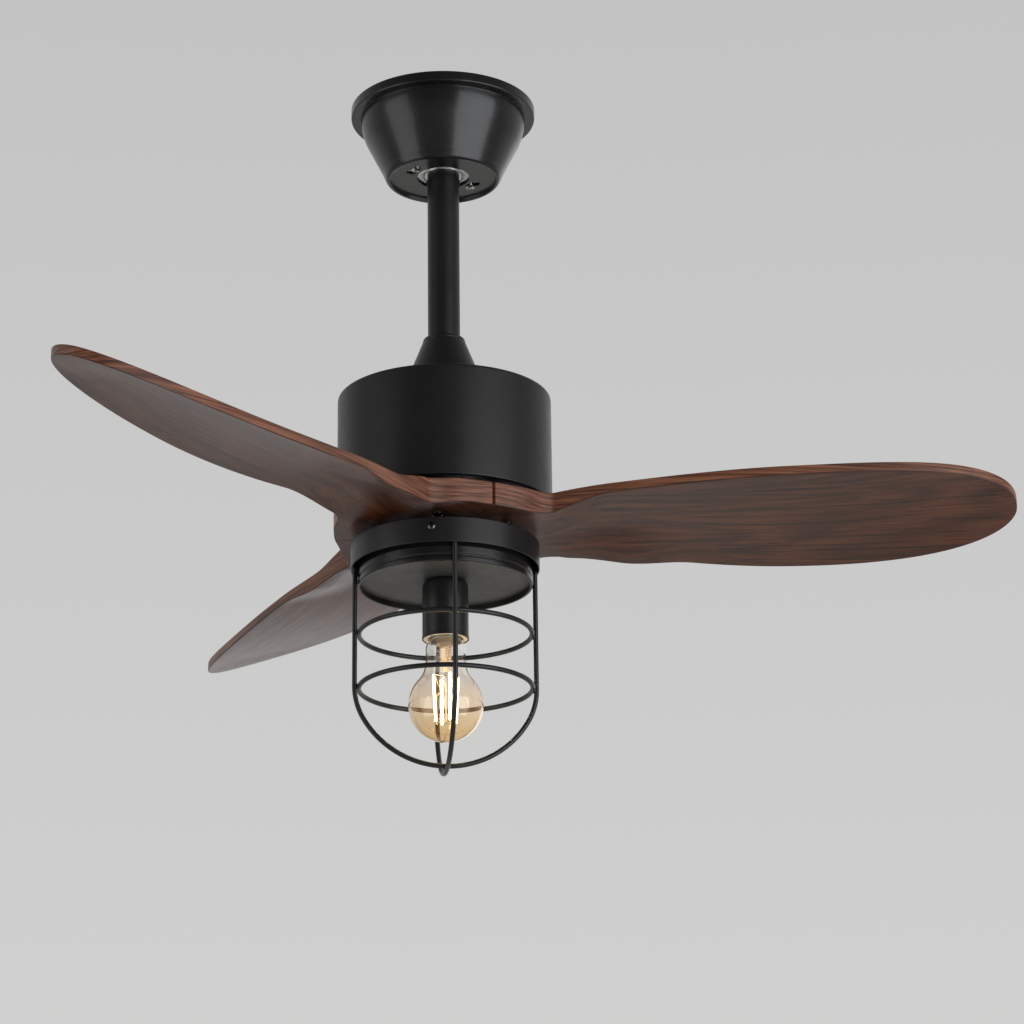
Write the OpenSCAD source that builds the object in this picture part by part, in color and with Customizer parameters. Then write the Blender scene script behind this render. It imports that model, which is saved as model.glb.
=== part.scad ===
// Ceiling fan with three propeller blades and a caged lamp, hung on a short downrod.
// Origin: centre of the bracket's top face, on the ceiling plane. +Z points up, everything hangs below.
// Levels named *_z are heights in that frame, so all of them are zero or negative.

/* [Ceiling bracket] */
// Length of the bracket's ceiling plate along X
plate_l = 116; // [110:1:120]
// Width of the bracket's ceiling plate along Y
plate_w = 40; // [36:1:44]
// Thickness of the bracket's steel
bracket_t = 2.5; // [2:0.5:3]
// Distance between the two ceiling slots
slot_spacing = 80; // [76:1:86]
// End-to-end length of each ceiling slot
slot_l = 14; // [10:1:16]
// Half width of each ceiling slot
slot_r = 2.75; // [2.5:0.25:3]

/* [Hanger ball] */
// Radius of the hanger ball
ball_r = 21; // [20.5:0.1:21.5]
// Depth of the ball's centre below the ceiling
ball_depth = 46; // [45:0.5:47]

/* [Canopy] */
// Radius of the canopy lip against the ceiling
canopy_lip_r = 77.5; // [75:0.5:82]
// Height of the canopy lip
canopy_lip_h = 8.5; // [7:0.5:10]
// Depth of the canopy from the ceiling to its bottom rim
canopy_h = 64.5; // [64:0.5:68]
// Radius of the canopy's bottom rim
canopy_base_r = 48.5; // [46:0.5:50]
// Radius of the hole that the downrod passes through
canopy_hole_r = 22; // [20:0.5:24]
// Wall thickness of the spun steel shells
shell_t = 1.2; // [1:0.1:1.5]
// Radius of the circle of the two canopy screws
canopy_screw_ring = 29; // [28:0.5:30]

/* [Downrod] */
// Outer radius of the downrod
rod_r = 13.3; // [13:0.1:13.4]
// Wall thickness of the downrod
rod_t = 1.6; // [1.2:0.1:2]
// Depth of the downrod's lower end below the ceiling
rod_end_depth = 256; // [254:0.5:257]

/* [Motor] */
// Radius of the motor housing
motor_r = 87.5; // [86:0.5:92]
// Depth of the motor housing's top below the ceiling
motor_top_depth = 262.5; // [262:0.5:264]
// Height of the motor housing
motor_h = 93.5; // [92.5:0.5:94]
// Radius of the hollow motor shaft
shaft_r = 8.5; // [8:0.5:9]
// Number of stator teeth and coils
stator_teeth = 12; // [12:1:12]

/* [Blades] */
// Radius of the circle that the blade tips sweep
blade_tip_r = 461; // [440:1:520]
// Thickness of a blade's paddle
blade_t = 8; // [7:0.5:10]
// Thickness of the blades' roots at the hub
hub_t = 19; // [17:0.5:20]
// Radius of the hub that the three roots form
hub_r = 90; // [88:0.5:92]
// Azimuth of the first blade's centre line
blade_azimuth = -4.5; // [-60:0.5:60]
// Pitch of the paddle where it leaves the hub
pitch_root = 8; // [6:0.5:10]
// Pitch of the paddle near its tip
pitch_tip = 20; // [14:0.5:22]

/* [Light kit] */
// Radius of the light kit's outer ring
light_r = 76.4; // [76:0.1:77]
// Height of the light kit's outer ring
light_ring_h = 20.5; // [18:0.5:21]
// Radius of the ribbed pan inside the outer ring
pan_r = 70; // [69.8:0.1:70]
// Radius of the lamp cup
cup_r = 18.6; // [18.4:0.1:19]
// Height of the lamp cup
cup_h = 49; // [48:0.5:49.5]
// Radius of the bulb at its widest
bulb_r = 30; // [28:0.5:31]

/* [Cage] */
// Radius from the axis to the centre of the upright bars
bar_ring_r = 73; // [73:0.1:73.1]
// Radius of the cage wire
wire_r = 2; // [1.9:0.1:2]
// Radius of the two horizontal rings, to the wire's centre
cage_ring_r = 69.4; // [69.2:0.1:69.6]
// Turn of the cage about the axis
cage_turn = 6; // [0:1:20]

/* [Hidden] */
$fn = 96;

// Overrun of a cutting tool past the face that it cuts
cut = 1;
// Clearance of a running fit
running = 0.08;
// Clearance of a pin in its hole
slip = 0.05;

// Colours
black = [0.07, 0.07, 0.08];
gloss_black = [0.04, 0.04, 0.05];
plate_grey = [0.20, 0.20, 0.19];
zinc = [0.62, 0.63, 0.64];
steel = [0.55, 0.56, 0.58];
brass = [0.75, 0.58, 0.28];
copper = [0.72, 0.40, 0.22];
aluminium = [0.70, 0.71, 0.73];
walnut = [0.33, 0.20, 0.14];
cream = [0.90, 0.85, 0.74];
amber = [0.95, 0.72, 0.38, 0.4];

// Levels of the hanging system
ball_z = -ball_depth;
rod_top_z = -24;
rod_end_z = -rod_end_depth;
ball_top_z = ball_z + 14;
ball_end_z = ball_z - 14;
cross_pin_z = ball_z + 11;
cross_pin_r = 2.5;
seat_top_z = ball_z - 4;
seat_end_z = ball_z - 13.5;
liner_r = ball_r + running;
liner_t = 1.3;
seat_r = liner_r + liner_t + running;
seat_wall_r = seat_r + 4.5;
seat_flange_r = 36;
canopy_z = -canopy_h;
canopy_face_z = canopy_z + 3;
canopy_screw_azimuth = 38;
earth_screw_y = -14;
terminal_pitch = 10;
terminal_block_size = [32, 9, 12];
terminal_top_z = -4;

// Levels of the coupling
cover_top_z = -208.5;
cover_top_r = 16.8;
cover_base_r = 38;
cover_neck_r = 17.5;
cover_screw_azimuth = 200;
cover_screw_z = -214;
cover_screw_r = 1.5;
cover_t = 1.2;
coupling_r = 17;
coupling_top_z = -222;
coupling_pin_z = -240;
coupling_pin_r = 3.2;
coupling_screw_z = -230;
coupling_screw_r = 2.5;
clip_y = -19;
clip_r = 0.8;
coupling_floor_z = rod_end_z - 2;
coupling_flange_r = 24;

// Levels of the motor
motor_top_z = -motor_top_depth;
motor_end_z = motor_top_z - motor_h;
motor_corner_r = 2;
shaft_top_z = coupling_floor_z;
shaft_end_z = -399;
shaft_bore_r = 5.5;
race_w = 10;
upper_bearing_z = -286;
lower_bearing_z = -339;
race_inner_r = 10.8;
race_outer_r = 15.2;
bearing_r = 17.5;
bearing_ball_r = (race_outer_r - race_inner_r) / 2 - slip;
bearing_ball_ring = (race_outer_r + race_inner_r) / 2;
bearing_ball_count = 9;
bell_split_z = -318;
bell_r = 70;
bell_inner_r = 62;
bell_top_z = -297;
bell_floor_z = -340;
bell_t = 3;
bell_bolt_ring = (bell_r + bell_inner_r) / 2;
bell_bolt_r = 2;
foot_w = 8;
plate_screw_r = 2;
stator_r = 52;
stator_top_z = -306;
stator_h = 25;
rotor_core_r = stator_r + 0.8;
tooth_w = 7;
coil_h = stator_h + 6;
foot_r = 48;

// Levels of the blades and their hub
blade_plate_z = -358;
blade_plate_t = 3;
blade_plate_r = 66;
hub_top_z = blade_plate_z - blade_plate_t;
hub_end_z = hub_top_z - hub_t;
hub_screw_ring = 59;
hub_screw_angle = 28.6;
hub_screw_r = 2.5;
hub_inner_screw_u = 34;
seam_gap = 0.2;
root_start_u = 26;
root_flat_u = 68;
root_blend_l = 72;
waist_u = 120;
bulge_l = 155;
lead_waist = 52.3;
lead_gain = 24;
trail_waist = 50;
trail_gain = 13.5;
tip_power = 5.6;
fillet_k = 10;
fillet_start_u = 46;
fillet_full_u = 72;
fillet_l = 70;
hollow_h = 3;
root_drop_h = 7;
root_drop_u = 60;
root_drop_l = 40;
root_drop_fade_u = 140;
root_drop_fade_l = 60;
root_drop_top = 0.75;
edge_chamfer = 1.2;
sag = 7;
sag_mid_u = 280;
sag_half_l = 165;
mid_z = -379.4;

// Levels of the light kit
light_top_z = -388;
light_end_z = light_top_z - light_ring_h;
light_ring_t = 1.2;
mount_plate_t = 2;
pan_top_z = -391;
pan_end_z = -422.5;
pan_t = 1.4;
lamp_plate_z = -416.5;
lamp_plate_t = 1.2;
cup_top_z = lamp_plate_z - lamp_plate_t;
cup_end_z = cup_top_z - cup_h;
cup_t = 0.8;
cup_shoulder_r = 6;
insulator_inner_r = 14.4;
shell_inner_r = 13.6;
cap_r = 13.1;
cap_top_z = -441;
cap_end_z = -468;
bulb_centre_z = -521;
glass_t = 0.8;
neck_r = 16.1;
stem_end_z = -494;
support_wire_r = 0.4;
filament_r = 1;
filament_ring = 10.5;
filament_lean = 2;
filament_top_z = -497;
filament_end_z = -535;
filament_azimuth = 20;
ring_screw_azimuth = 262;
ring_screw_z = -395.5;
ring_screw_r = 1.7;
lamp_wire_r = 1.3;

// Levels of the cage
bar_top_z = light_end_z + 2.5;
spring_z = -507;
arch_rise = 64;
arch_corner_r = 52;
upper_ring_z = -462.4;
lower_ring_z = -507.3;
front_arch_drop = 2 * wire_r - 0.1;

// Shared shapes ---------------------------------------------------------------

function mix(a, b, t) = a + (b - a) * t;
function smooth(t) = let (c = max(0, min(1, t))) c * c * (3 - 2 * c);
// Points along a quadratic curve from a to c that leaves and arrives pointing at b
function curve(a, b, c, steps = 10) =
    [for (i = [0:steps]) let (t = i / steps) mix(mix(a, b, t), mix(b, c, t), t)];
function reversed(list) = [for (i = [len(list) - 1:-1:0]) list[i]];

// Solid through closed rings of points, each with as many points as the first
module loft(rings) {
    sides = len(rings[0]);
    last = len(rings) - 1;
    polyhedron(
        points = [for (ring = rings) each ring],
        faces = concat(
            [[for (j = [0:sides - 1]) j]],
            [[for (j = [sides - 1:-1:0]) last * sides + j]],
            [for (i = [0:last - 1]) for (j = [0:sides - 1]) each
                let (p = i * sides + j, q = i * sides + (j + 1) % sides)
                [[p, p + sides, q + sides], [p, q + sides, q]]]
        )
    );
}

module rod_z(r, top, end) {
    translate([0, 0, end]) cylinder(r = r, h = top - end);
}

module pipe_z(r, bore, top, end) {
    difference() {
        rod_z(r, top, end);
        rod_z(bore, top + cut, end - cut);
    }
}

module around(count, r = 0, start = 0) {
    for (i = [0:count - 1])
        rotate([0, 0, start + 360 * i / count]) translate([r, 0, 0]) children();
}

// Round-headed screw that points up: head below `z`, shank above it
module screw_up(z, head_r, head_h, shank_r, shank_l) {
    rod_z(shank_r, z + shank_l, z);
    difference() {
        intersection() {
            rod_z(head_r, z, z - head_h);
            translate([0, 0, z - head_h + head_r * 1.6]) sphere(r = head_r * 1.6);
        }
        for (a = [0, 90]) rotate([0, 0, a])
            translate([-head_r * 0.6, -0.4, z - head_h - cut])
                cube([head_r * 1.2, 0.8, head_h * 0.5 + cut]);
    }
}

// Headless screw along X, from radius `near` to radius `far`
module grub_x(r, near, far, z) {
    translate([near, 0, z]) rotate([0, 90, 0]) difference() {
        cylinder(r = r, h = far - near);
        translate([0, 0, far - near - r]) cylinder(r = r * 0.5, h = r + cut, $fn = 6);
    }
}

module hex_nut(width, bore, top, end) {
    difference() {
        translate([0, 0, end]) cylinder(r = width / sqrt(3), h = top - end, $fn = 6);
        rod_z(bore, top + cut, end - cut);
    }
}

// Ceiling bracket, canopy and hanger ball --------------------------------------

module plate_slot(x) {
    for (dx = [-1, 1]) translate([x + dx * (slot_l / 2 - slot_r), 0, -bracket_t - cut])
        cylinder(r = slot_r, h = bracket_t + 2 * cut);
    translate([x - slot_l / 2 + slot_r, -slot_r, -bracket_t - cut])
        cube([slot_l - 2 * slot_r, 2 * slot_r, bracket_t + 2 * cut]);
}

module rod_entry() {
    translate([-rod_r - 1, 0, seat_end_z - cut])
        cube([2 * rod_r + 2, seat_flange_r + cut, seat_top_z - seat_end_z + 2 * cut]);
}

module ceiling_bracket() {
    arm_w = 24;
    arm_x = seat_flange_r - bracket_t;
    wire_hole_r = 7;
    screw_hole_r = 1.9;
    sight_hole_r = 3.5;
    color(zinc) difference() {
        union() {
            translate([-plate_l / 2, -plate_w / 2, -bracket_t]) cube([plate_l, plate_w, bracket_t]);
            for (half = [0, 180]) rotate([0, 0, half]) translate([arm_x, -arm_w / 2, seat_end_z])
                cube([bracket_t, arm_w, -seat_end_z]);
            rod_z(seat_flange_r, seat_end_z + bracket_t, seat_end_z);
            rod_z(seat_wall_r, seat_top_z, seat_end_z);
        }
        plate_slot(-slot_spacing / 2);
        plate_slot(slot_spacing / 2);
        around(2, 15) rod_z(wire_hole_r, cut, -bracket_t - cut);
        translate([0, earth_screw_y, 0]) rod_z(2, cut, -bracket_t - cut);
        translate([0, 0, ball_z]) sphere(r = seat_r);
        translate([0, 0, ball_z]) rotate([0, 90, 0])
            cylinder(r = sight_hole_r, h = plate_l, center = true);
        rod_entry();
        around(2, canopy_screw_ring, canopy_screw_azimuth)
            rod_z(screw_hole_r, seat_end_z + bracket_t + cut, seat_end_z - cut);
    }
}

// Centres of the terminals, beside the plate's front edge
module at_terminals() {
    y = -(plate_w + terminal_block_size[1] + 1) / 2;
    for (i = [-1:1]) translate([i * terminal_pitch, y, 0]) children();
}

module terminal_block() {
    depth = 9;
    end_z = terminal_top_z - terminal_block_size[2];
    color("ivory") difference() {
        translate([-terminal_block_size[0] / 2, -(plate_w + 1) / 2 - terminal_block_size[1], end_z])
            cube(terminal_block_size);
        at_terminals() rod_z(2.2, end_z + depth, end_z - cut);
    }
}

module terminal_screws() {
    top = terminal_top_z - terminal_block_size[2] + 7;
    color(zinc) at_terminals() rod_z(1.8, top, top - 5);
}

module earth_screw() {
    color(brass) translate([0, earth_screw_y, 0]) screw_up(-bracket_t, 3.4, 2, 1.9, bracket_t - 0.3);
}

// Outer profile of the canopy, from the ceiling down to the flat face: lip, shoulder, cone, bottom rim
shoulder_r = canopy_lip_r - 7.9;
shoulder_z = -canopy_lip_h - 1;
cone = [canopy_base_r + 13.8, -33];
lip_round = 1.2;
canopy_outer = concat(
    [[canopy_lip_r, 0], [canopy_lip_r, lip_round - canopy_lip_h],
        [canopy_lip_r - lip_round, -canopy_lip_h]],
    curve([shoulder_r, shoulder_z], [shoulder_r - 1, shoulder_z - 12.5], cone, 9),
    curve([canopy_base_r + 1.8, canopy_z + 7], [canopy_base_r - 0.3, canopy_z],
        [canopy_base_r - 3, canopy_z], 6),
    [[canopy_base_r - 4, canopy_z + 0.4], [canopy_base_r - 4.6, canopy_face_z]]
);
canopy_inner = concat(
    [[canopy_lip_r - shell_t, 0], [canopy_lip_r - shell_t, lip_round - canopy_lip_h],
        [shoulder_r - shell_t, lip_round - canopy_lip_h]],
    curve([shoulder_r - shell_t, shoulder_z], [shoulder_r - 1 - shell_t, shoulder_z - 12.2],
        [cone[0] - shell_t, cone[1] + 0.5], 9),
    curve([canopy_base_r + 1.8 - shell_t, canopy_z + 7.4], [canopy_base_r - 1, canopy_z + shell_t],
        [canopy_base_r - 3, canopy_z + shell_t], 6),
    [[canopy_base_r - 3.4, canopy_face_z + shell_t]]
);

module canopy() {
    slot_turn = 14;
    slot_half_w = 2;
    hole_r = 2.2;
    entry_r = 4.3;
    top = canopy_face_z + shell_t + cut;
    color(gloss_black) difference() {
        rotate_extrude() polygon(concat(
            canopy_outer, [[canopy_hole_r, canopy_face_z], [canopy_hole_r, canopy_face_z + shell_t]],
            reversed(canopy_inner)));
        for (half = [0, 180]) rotate([0, 0, canopy_screw_azimuth + half]) {
            translate([canopy_screw_ring, 0, 0]) rod_z(hole_r, top, canopy_face_z - cut);
            rotate([0, 0, -slot_turn]) {
                translate([canopy_screw_ring, 0, 0]) rod_z(entry_r, top, canopy_face_z - cut);
                translate([0, 0, canopy_face_z - cut]) rotate_extrude(angle = slot_turn)
                    translate([canopy_screw_ring - slot_half_w, 0])
                        square([2 * slot_half_w, shell_t + 2 * cut]);
            }
        }
    }
}

module canopy_screws() {
    color(brass) around(2, canopy_screw_ring, canopy_screw_azimuth)
        screw_up(canopy_face_z, 4, 2.4, 1.8, 8);
}

module ball_seat_liner() {
    color(cream) difference() {
        intersection() {
            translate([0, 0, ball_z]) sphere(r = liner_r + liner_t);
            rod_z(ball_r + 6, seat_top_z - 0.5, seat_end_z + 0.5);
        }
        translate([0, 0, ball_z]) sphere(r = liner_r);
        rod_entry();
    }
}

module hanger_ball() {
    color(zinc) difference() {
        intersection() {
            translate([0, 0, ball_z]) sphere(r = ball_r);
            rod_z(ball_r + 2, ball_top_z, ball_end_z);
        }
        rod_z(rod_r + slip, 0, -100);
        translate([0, 0, cross_pin_z]) rotate([0, 90, 0])
            cylinder(r = cross_pin_r + slip, h = 3 * ball_r, center = true);
        translate([0, 0, ball_z]) rotate([90, 0, 0]) cylinder(r = 2 + slip, h = 30);
    }
}

module ball_cross_pin() {
    pin_l = 2 * (ball_r - 4.5);
    color(steel) translate([0, 0, cross_pin_z]) rotate([0, 90, 0])
        cylinder(r = cross_pin_r, h = pin_l, center = true);
}

module ball_set_screw() {
    color(steel) rotate([0, 0, -90]) grub_x(2, rod_r, ball_r - 1.5, ball_z);
}

module downrod() {
    color(black) difference() {
        rod_z(rod_r, rod_top_z, rod_end_z);
        rod_z(rod_r - rod_t, rod_top_z + cut, rod_end_z - cut);
        translate([0, 0, cross_pin_z]) rotate([0, 90, 0])
            cylinder(r = cross_pin_r + slip, h = 3 * ball_r, center = true);
        translate([0, 0, coupling_pin_z]) rotate([90, 0, 0])
            cylinder(r = coupling_pin_r + slip, h = 3 * coupling_r, center = true);
    }
}

// Coupling between the downrod and the motor -----------------------------------

// Neck, collar and cone of the cover, whose brim rests just above the motor
module coupling_cover() {
    bore = rod_r + 0.35;
    neck_z = cover_top_z - 2.8;
    slope = (cover_base_r - cover_neck_r) / (neck_z - motor_top_z);
    brim_z = motor_top_z + 0.4;
    brim_r = cover_base_r - slope * 0.4;
    color(black) difference() {
        rotate_extrude() polygon(concat(
            [[bore, cover_top_z], [cover_top_r - 2, cover_top_z]],
            curve([cover_top_r - 1.5, cover_top_z], [cover_top_r + 0.2, cover_top_z - 0.4],
                [cover_neck_r - slope * 0.3, neck_z + 0.3], 4),
            [[brim_r, brim_z], [brim_r - cover_t, brim_z], [cover_neck_r - cover_t, neck_z],
                [bore, neck_z]]
        ));
        rotate([0, 0, cover_screw_azimuth]) translate([0, 0, cover_screw_z]) rotate([0, 90, 0])
            cylinder(r = cover_screw_r + slip, h = cover_base_r);
    }
}

module cover_set_screw() {
    color(steel) rotate([0, 0, cover_screw_azimuth])
        grub_x(cover_screw_r, rod_r + 0.35, cover_neck_r + 0.5, cover_screw_z);
}

module motor_coupling() {
    color(steel) difference() {
        union() {
            rod_z(coupling_r, coupling_top_z, motor_top_z);
            rod_z(coupling_flange_r, motor_top_z + 2.5, motor_top_z);
        }
        rod_z(rod_r + slip, coupling_top_z + cut, coupling_floor_z);
        rod_z(shaft_r, coupling_floor_z + cut, motor_top_z - cut);
        translate([0, 0, coupling_pin_z]) rotate([90, 0, 0])
            cylinder(r = coupling_pin_r + slip, h = 3 * coupling_r, center = true);
        for (half = [0, 180]) rotate([0, 0, half]) translate([0, 0, coupling_screw_z])
            rotate([0, 90, 0]) cylinder(r = coupling_screw_r + slip, h = 30);
    }
}

module coupling_pin() {
    color(zinc) difference() {
        translate([0, 0, coupling_pin_z]) rotate([90, 0, 0]) union() {
            cylinder(r = coupling_pin_r, h = 42, center = true);
            translate([0, 0, -22]) cylinder(r = 5, h = 2);
        }
        translate([0, clip_y, coupling_pin_z]) cylinder(r = clip_r + slip, h = 20, center = true);
    }
}

module pin_clip() {
    leg_l = 13;
    bend_r = 3;
    color(zinc) translate([0, clip_y, coupling_pin_z]) {
        cylinder(r = clip_r, h = leg_l, center = true);
        translate([-bend_r, 0, leg_l / 2]) rotate([90, 0, 0]) rotate_extrude(angle = 180)
            translate([bend_r, 0]) circle(r = clip_r);
        translate([-2 * bend_r, 0, 0]) cylinder(r = clip_r, h = leg_l, center = true);
    }
}

module coupling_screws() {
    color(steel) for (half = [0, 180]) rotate([0, 0, half])
        grub_x(coupling_screw_r, rod_r, coupling_r + 2, coupling_screw_z);
}

// Motor --------------------------------------------------------------------------

module motor_housing() {
    inner_r = motor_r - shell_t;
    corner_z = motor_top_z - motor_corner_r;
    rim_w = 3;
    hole_r = shaft_r + 0.3;
    color(black) rotate_extrude() polygon(concat(
        [[hole_r, motor_top_z]],
        curve([motor_r - motor_corner_r, motor_top_z], [motor_r, motor_top_z], [motor_r, corner_z], 8),
        [[motor_r, motor_end_z], [inner_r - rim_w, motor_end_z], [inner_r - rim_w, motor_end_z + shell_t],
            [inner_r, motor_end_z + shell_t]],
        curve([inner_r, corner_z], [inner_r, motor_top_z - shell_t],
            [motor_r - motor_corner_r, motor_top_z - shell_t], 8),
        [[hole_r, motor_top_z - shell_t]]
    ));
}

module housing_lock_nut() {
    color(zinc) hex_nut(24, shaft_r, motor_top_z - shell_t, motor_top_z - shell_t - 6);
}

module hollow_shaft() {
    color(steel) pipe_z(shaft_r, shaft_bore_r, shaft_top_z, shaft_end_z);
}

module run_capacitor() {
    body = [44, 20, 15];
    color(black) translate([30, -body[1] / 2, motor_top_z - shell_t - body[2]]) difference() {
        cube(body);
        translate([4, 4, -cut]) cube([body[0] - 8, body[1] - 8, 2 + cut]);
    }
}

module stator_slot() {
    inner = 25;
    outer = stator_r - 5;
    function half_w(r) = r * tan(180 / stator_teeth) - tooth_w / 2;
    linear_extrude(height = stator_h + 2 * cut) {
        polygon([
            [inner, -half_w(inner)], [outer, -half_w(outer)],
            [outer, half_w(outer)], [inner, half_w(inner)]
        ]);
        translate([outer - 1, -1.5]) square([8, 3]);
    }
}

module stator_core() {
    color(steel) difference() {
        rod_z(stator_r, stator_top_z, stator_top_z - stator_h);
        rod_z(shaft_r, stator_top_z + cut, stator_top_z - stator_h - cut);
        translate([0, 0, stator_top_z - stator_h - cut])
            around(stator_teeth, 0, 180 / stator_teeth) stator_slot();
    }
}

module stator_coils() {
    coil_l = 18;
    coil_w = tooth_w + 5;
    mid = stator_top_z - stator_h / 2;
    color(copper) around(stator_teeth, 26.5) difference() {
        translate([0, -coil_w / 2, mid - coil_h / 2]) cube([coil_l, coil_w, coil_h]);
        translate([-cut, -tooth_w / 2 - slip, mid - stator_h / 2 - slip])
            cube([coil_l + 2 * cut, tooth_w + 2 * slip, stator_h + 2 * slip]);
    }
}

module races(outer, inner) {
    for (z = [upper_bearing_z, lower_bearing_z]) pipe_z(outer, inner, z, z - race_w);
}

module bearing_inner_races() {
    color(steel) races(race_inner_r, shaft_r);
}

module bearing_outer_races() {
    color(steel) races(bearing_r, race_outer_r);
}

module bearing_balls() {
    color(zinc) for (z = [upper_bearing_z, lower_bearing_z])
        translate([0, 0, z - race_w / 2]) around(bearing_ball_count, bearing_ball_ring)
            sphere(r = bearing_ball_r, $fn = 24);
}

module rotor_core() {
    color(steel) pipe_z(bell_inner_r, rotor_core_r, stator_top_z + 2, stator_top_z - stator_h - 2);
}

module bell_bolt_holes(top, end) {
    around(4, bell_bolt_ring, 45) rod_z(bell_bolt_r + slip, top + cut, end - cut);
}

module rotor_top_bell() {
    color(aluminium) difference() {
        union() {
            pipe_z(bell_r, bell_inner_r, bell_top_z, bell_split_z);
            pipe_z(bell_r, bearing_r, bell_top_z, bell_top_z - bell_t);
            pipe_z(bearing_r + 4, bearing_r, upper_bearing_z, bell_top_z - bell_t);
        }
        bell_bolt_holes(bell_top_z, bell_split_z);
        around(8, 40, 22.5) rod_z(7, bell_top_z + cut, bell_top_z - bell_t - cut);
    }
}

// Centres of the screws between the bottom bell's foot and the blade plate
module at_plate_screws() {
    around(6, foot_r - foot_w / 2, blade_azimuth) children();
}

module rotor_bottom_bell() {
    color(aluminium) difference() {
        union() {
            pipe_z(bell_r, bell_inner_r, bell_split_z, bell_floor_z);
            pipe_z(bell_r, bearing_r, bell_floor_z + bell_t, bell_floor_z);
            pipe_z(bearing_r + 4, bearing_r, bell_floor_z + bell_t, lower_bearing_z - race_w);
            pipe_z(foot_r, foot_r - foot_w, bell_floor_z, blade_plate_z);
        }
        bell_bolt_holes(bell_split_z, bell_floor_z);
        at_plate_screws() rod_z(plate_screw_r + slip, blade_plate_z + 12, blade_plate_z - cut);
    }
}

module rotor_bolts() {
    head_r = 3.6;
    head_h = 3;
    color(zinc) around(4, bell_bolt_ring, 45) {
        rod_z(bell_bolt_r, bell_top_z, bell_floor_z);
        rod_z(head_r, bell_top_z + head_h, bell_top_z);
        rod_z(head_r, bell_floor_z, bell_floor_z - head_h);
    }
}

// Blade plate and blades -------------------------------------------------------------

// Centres of one blade's three root screws, in the blade's own frame
hub_screws = [
    [hub_screw_ring * cos(hub_screw_angle), hub_screw_ring * sin(hub_screw_angle)],
    [hub_screw_ring * cos(hub_screw_angle), -hub_screw_ring * sin(hub_screw_angle)],
    [hub_inner_screw_u, 0]
];

module at_hub_screws() {
    around(3, 0, blade_azimuth) for (p = hub_screws) translate([p[0], p[1], 0]) children();
}

module blade_plate() {
    color(black) difference() {
        pipe_z(blade_plate_r, 15, blade_plate_z, hub_top_z);
        at_hub_screws() rod_z(hub_screw_r + slip, blade_plate_z + cut, hub_top_z - cut);
        at_plate_screws() rod_z(plate_screw_r + slip, blade_plate_z + cut, hub_top_z - cut);
    }
}

module blade_plate_screws() {
    color(zinc) at_plate_screws() rod_z(plate_screw_r, blade_plate_z + 11, hub_top_z);
}

// Half width of the hub's outline at distance u along a blade: the radial seam, then the round rim
function seam_v(u) = u * tan(60) - seam_gap;
function rim_v(u) = sqrt(max(0, hub_r * hub_r - u * u));
// Growth of the paddle from its waist to its widest stretch, and the rounding of its tip
function bulge(u) = 1 - pow(1 - min(1, (u - waist_u) / bulge_l), 2);
function tip_round(u) = sqrt(1 - pow(u / blade_tip_r, tip_power));
// Fillet between the hub's rim and the paddle's edge: none at the seam, fading out along the paddle
function fillet(u) =
    fillet_k * smooth((u - fillet_start_u) / (fillet_full_u - fillet_start_u))
        * (1 - smooth((u - hub_r) / fillet_l));
function soft_max(a, b, k) = (a + b) / 2 + sqrt(pow((a - b) / 2, 2) + k * k);
function edge_v(u, paddle_v) = min(seam_v(u), soft_max(rim_v(u), paddle_v * tip_round(u), fillet(u)));
function lead_v(u) = edge_v(u, lead_waist + lead_gain * bulge(u));
function trail_v(u) = edge_v(u, trail_waist + trail_gain * bulge(u));

// Place across the blade at u, from -1 on the leading edge to 1 on the trailing edge
function across(u, v) =
    let (lead = lead_v(u), trail = trail_v(u)) (2 * v + lead - trail) / (lead + trail);
// Extra depth of the trailing edge where it leaves the hub
function root_drop(u, v) =
    root_drop_h * smooth((u - root_drop_u) / root_drop_l) * smooth(v / trail_waist)
        * (1 - smooth((u - root_drop_fade_u) / root_drop_fade_l));
// Height of the underside at u along and v across the blade, hollow in the middle, and the thickness there
function root_blend(u) = smooth((u - root_flat_u) / root_blend_l);
function pitch(u) = mix(pitch_root, pitch_tip, (u - waist_u) / (blade_tip_r - waist_u));
function camber_z(u, v) =
    mid_z + sag * pow((u - sag_mid_u) / sag_half_l, 2) + hollow_h * (1 - pow(across(u, v), 2));
function under_z(u, v) =
    mix(hub_end_z, camber_z(u, v) - tan(pitch(u)) * v, root_blend(u)) - root_drop(u, v);
function thick(u, v) = mix(hub_t, blade_t, root_blend(u)) + root_drop_top * root_drop(u, v);

// Stations along the blade, closer together where its outline bends
tip_stations = 12;
tip_start_u = 380;
tip_end_gap = 0.05;
root_start_step = 3;
hub_step = 6;
paddle_step = 15;
stations = concat(
    [root_start_u],
    [for (u = [hub_r / 2:root_start_step:hub_r]) u],
    [for (u = [hub_r + hub_step:hub_step:hub_r + fillet_l]) u],
    [for (u = [hub_r + fillet_l + paddle_step:paddle_step:tip_start_u - hub_step]) u],
    [for (i = [0:tip_stations]) mix(tip_start_u, blade_tip_r - tip_end_gap, sin(90 * i / tip_stations))]
);

face_steps = 6;

function section(u) =
    let (
        a = -lead_v(u),
        b = trail_v(u),
        c = min(edge_chamfer, (b - a) * 0.3),
        face = [for (i = [0:face_steps]) mix(a + c, b - c, i / face_steps)]
    )
    concat(
        [for (v = face) [u, v, under_z(u, v)]],
        [[u, b, under_z(u, b) + c], [u, b, under_z(u, b) + thick(u, b) - c]],
        [for (v = reversed(face)) [u, v, under_z(u, v) + thick(u, v)]],
        [[u, a, under_z(u, a) + thick(u, a) - c], [u, a, under_z(u, a) + c]]
    );

module blade_solid() {
    loft([for (u = stations) section(u)]);
}

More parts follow.
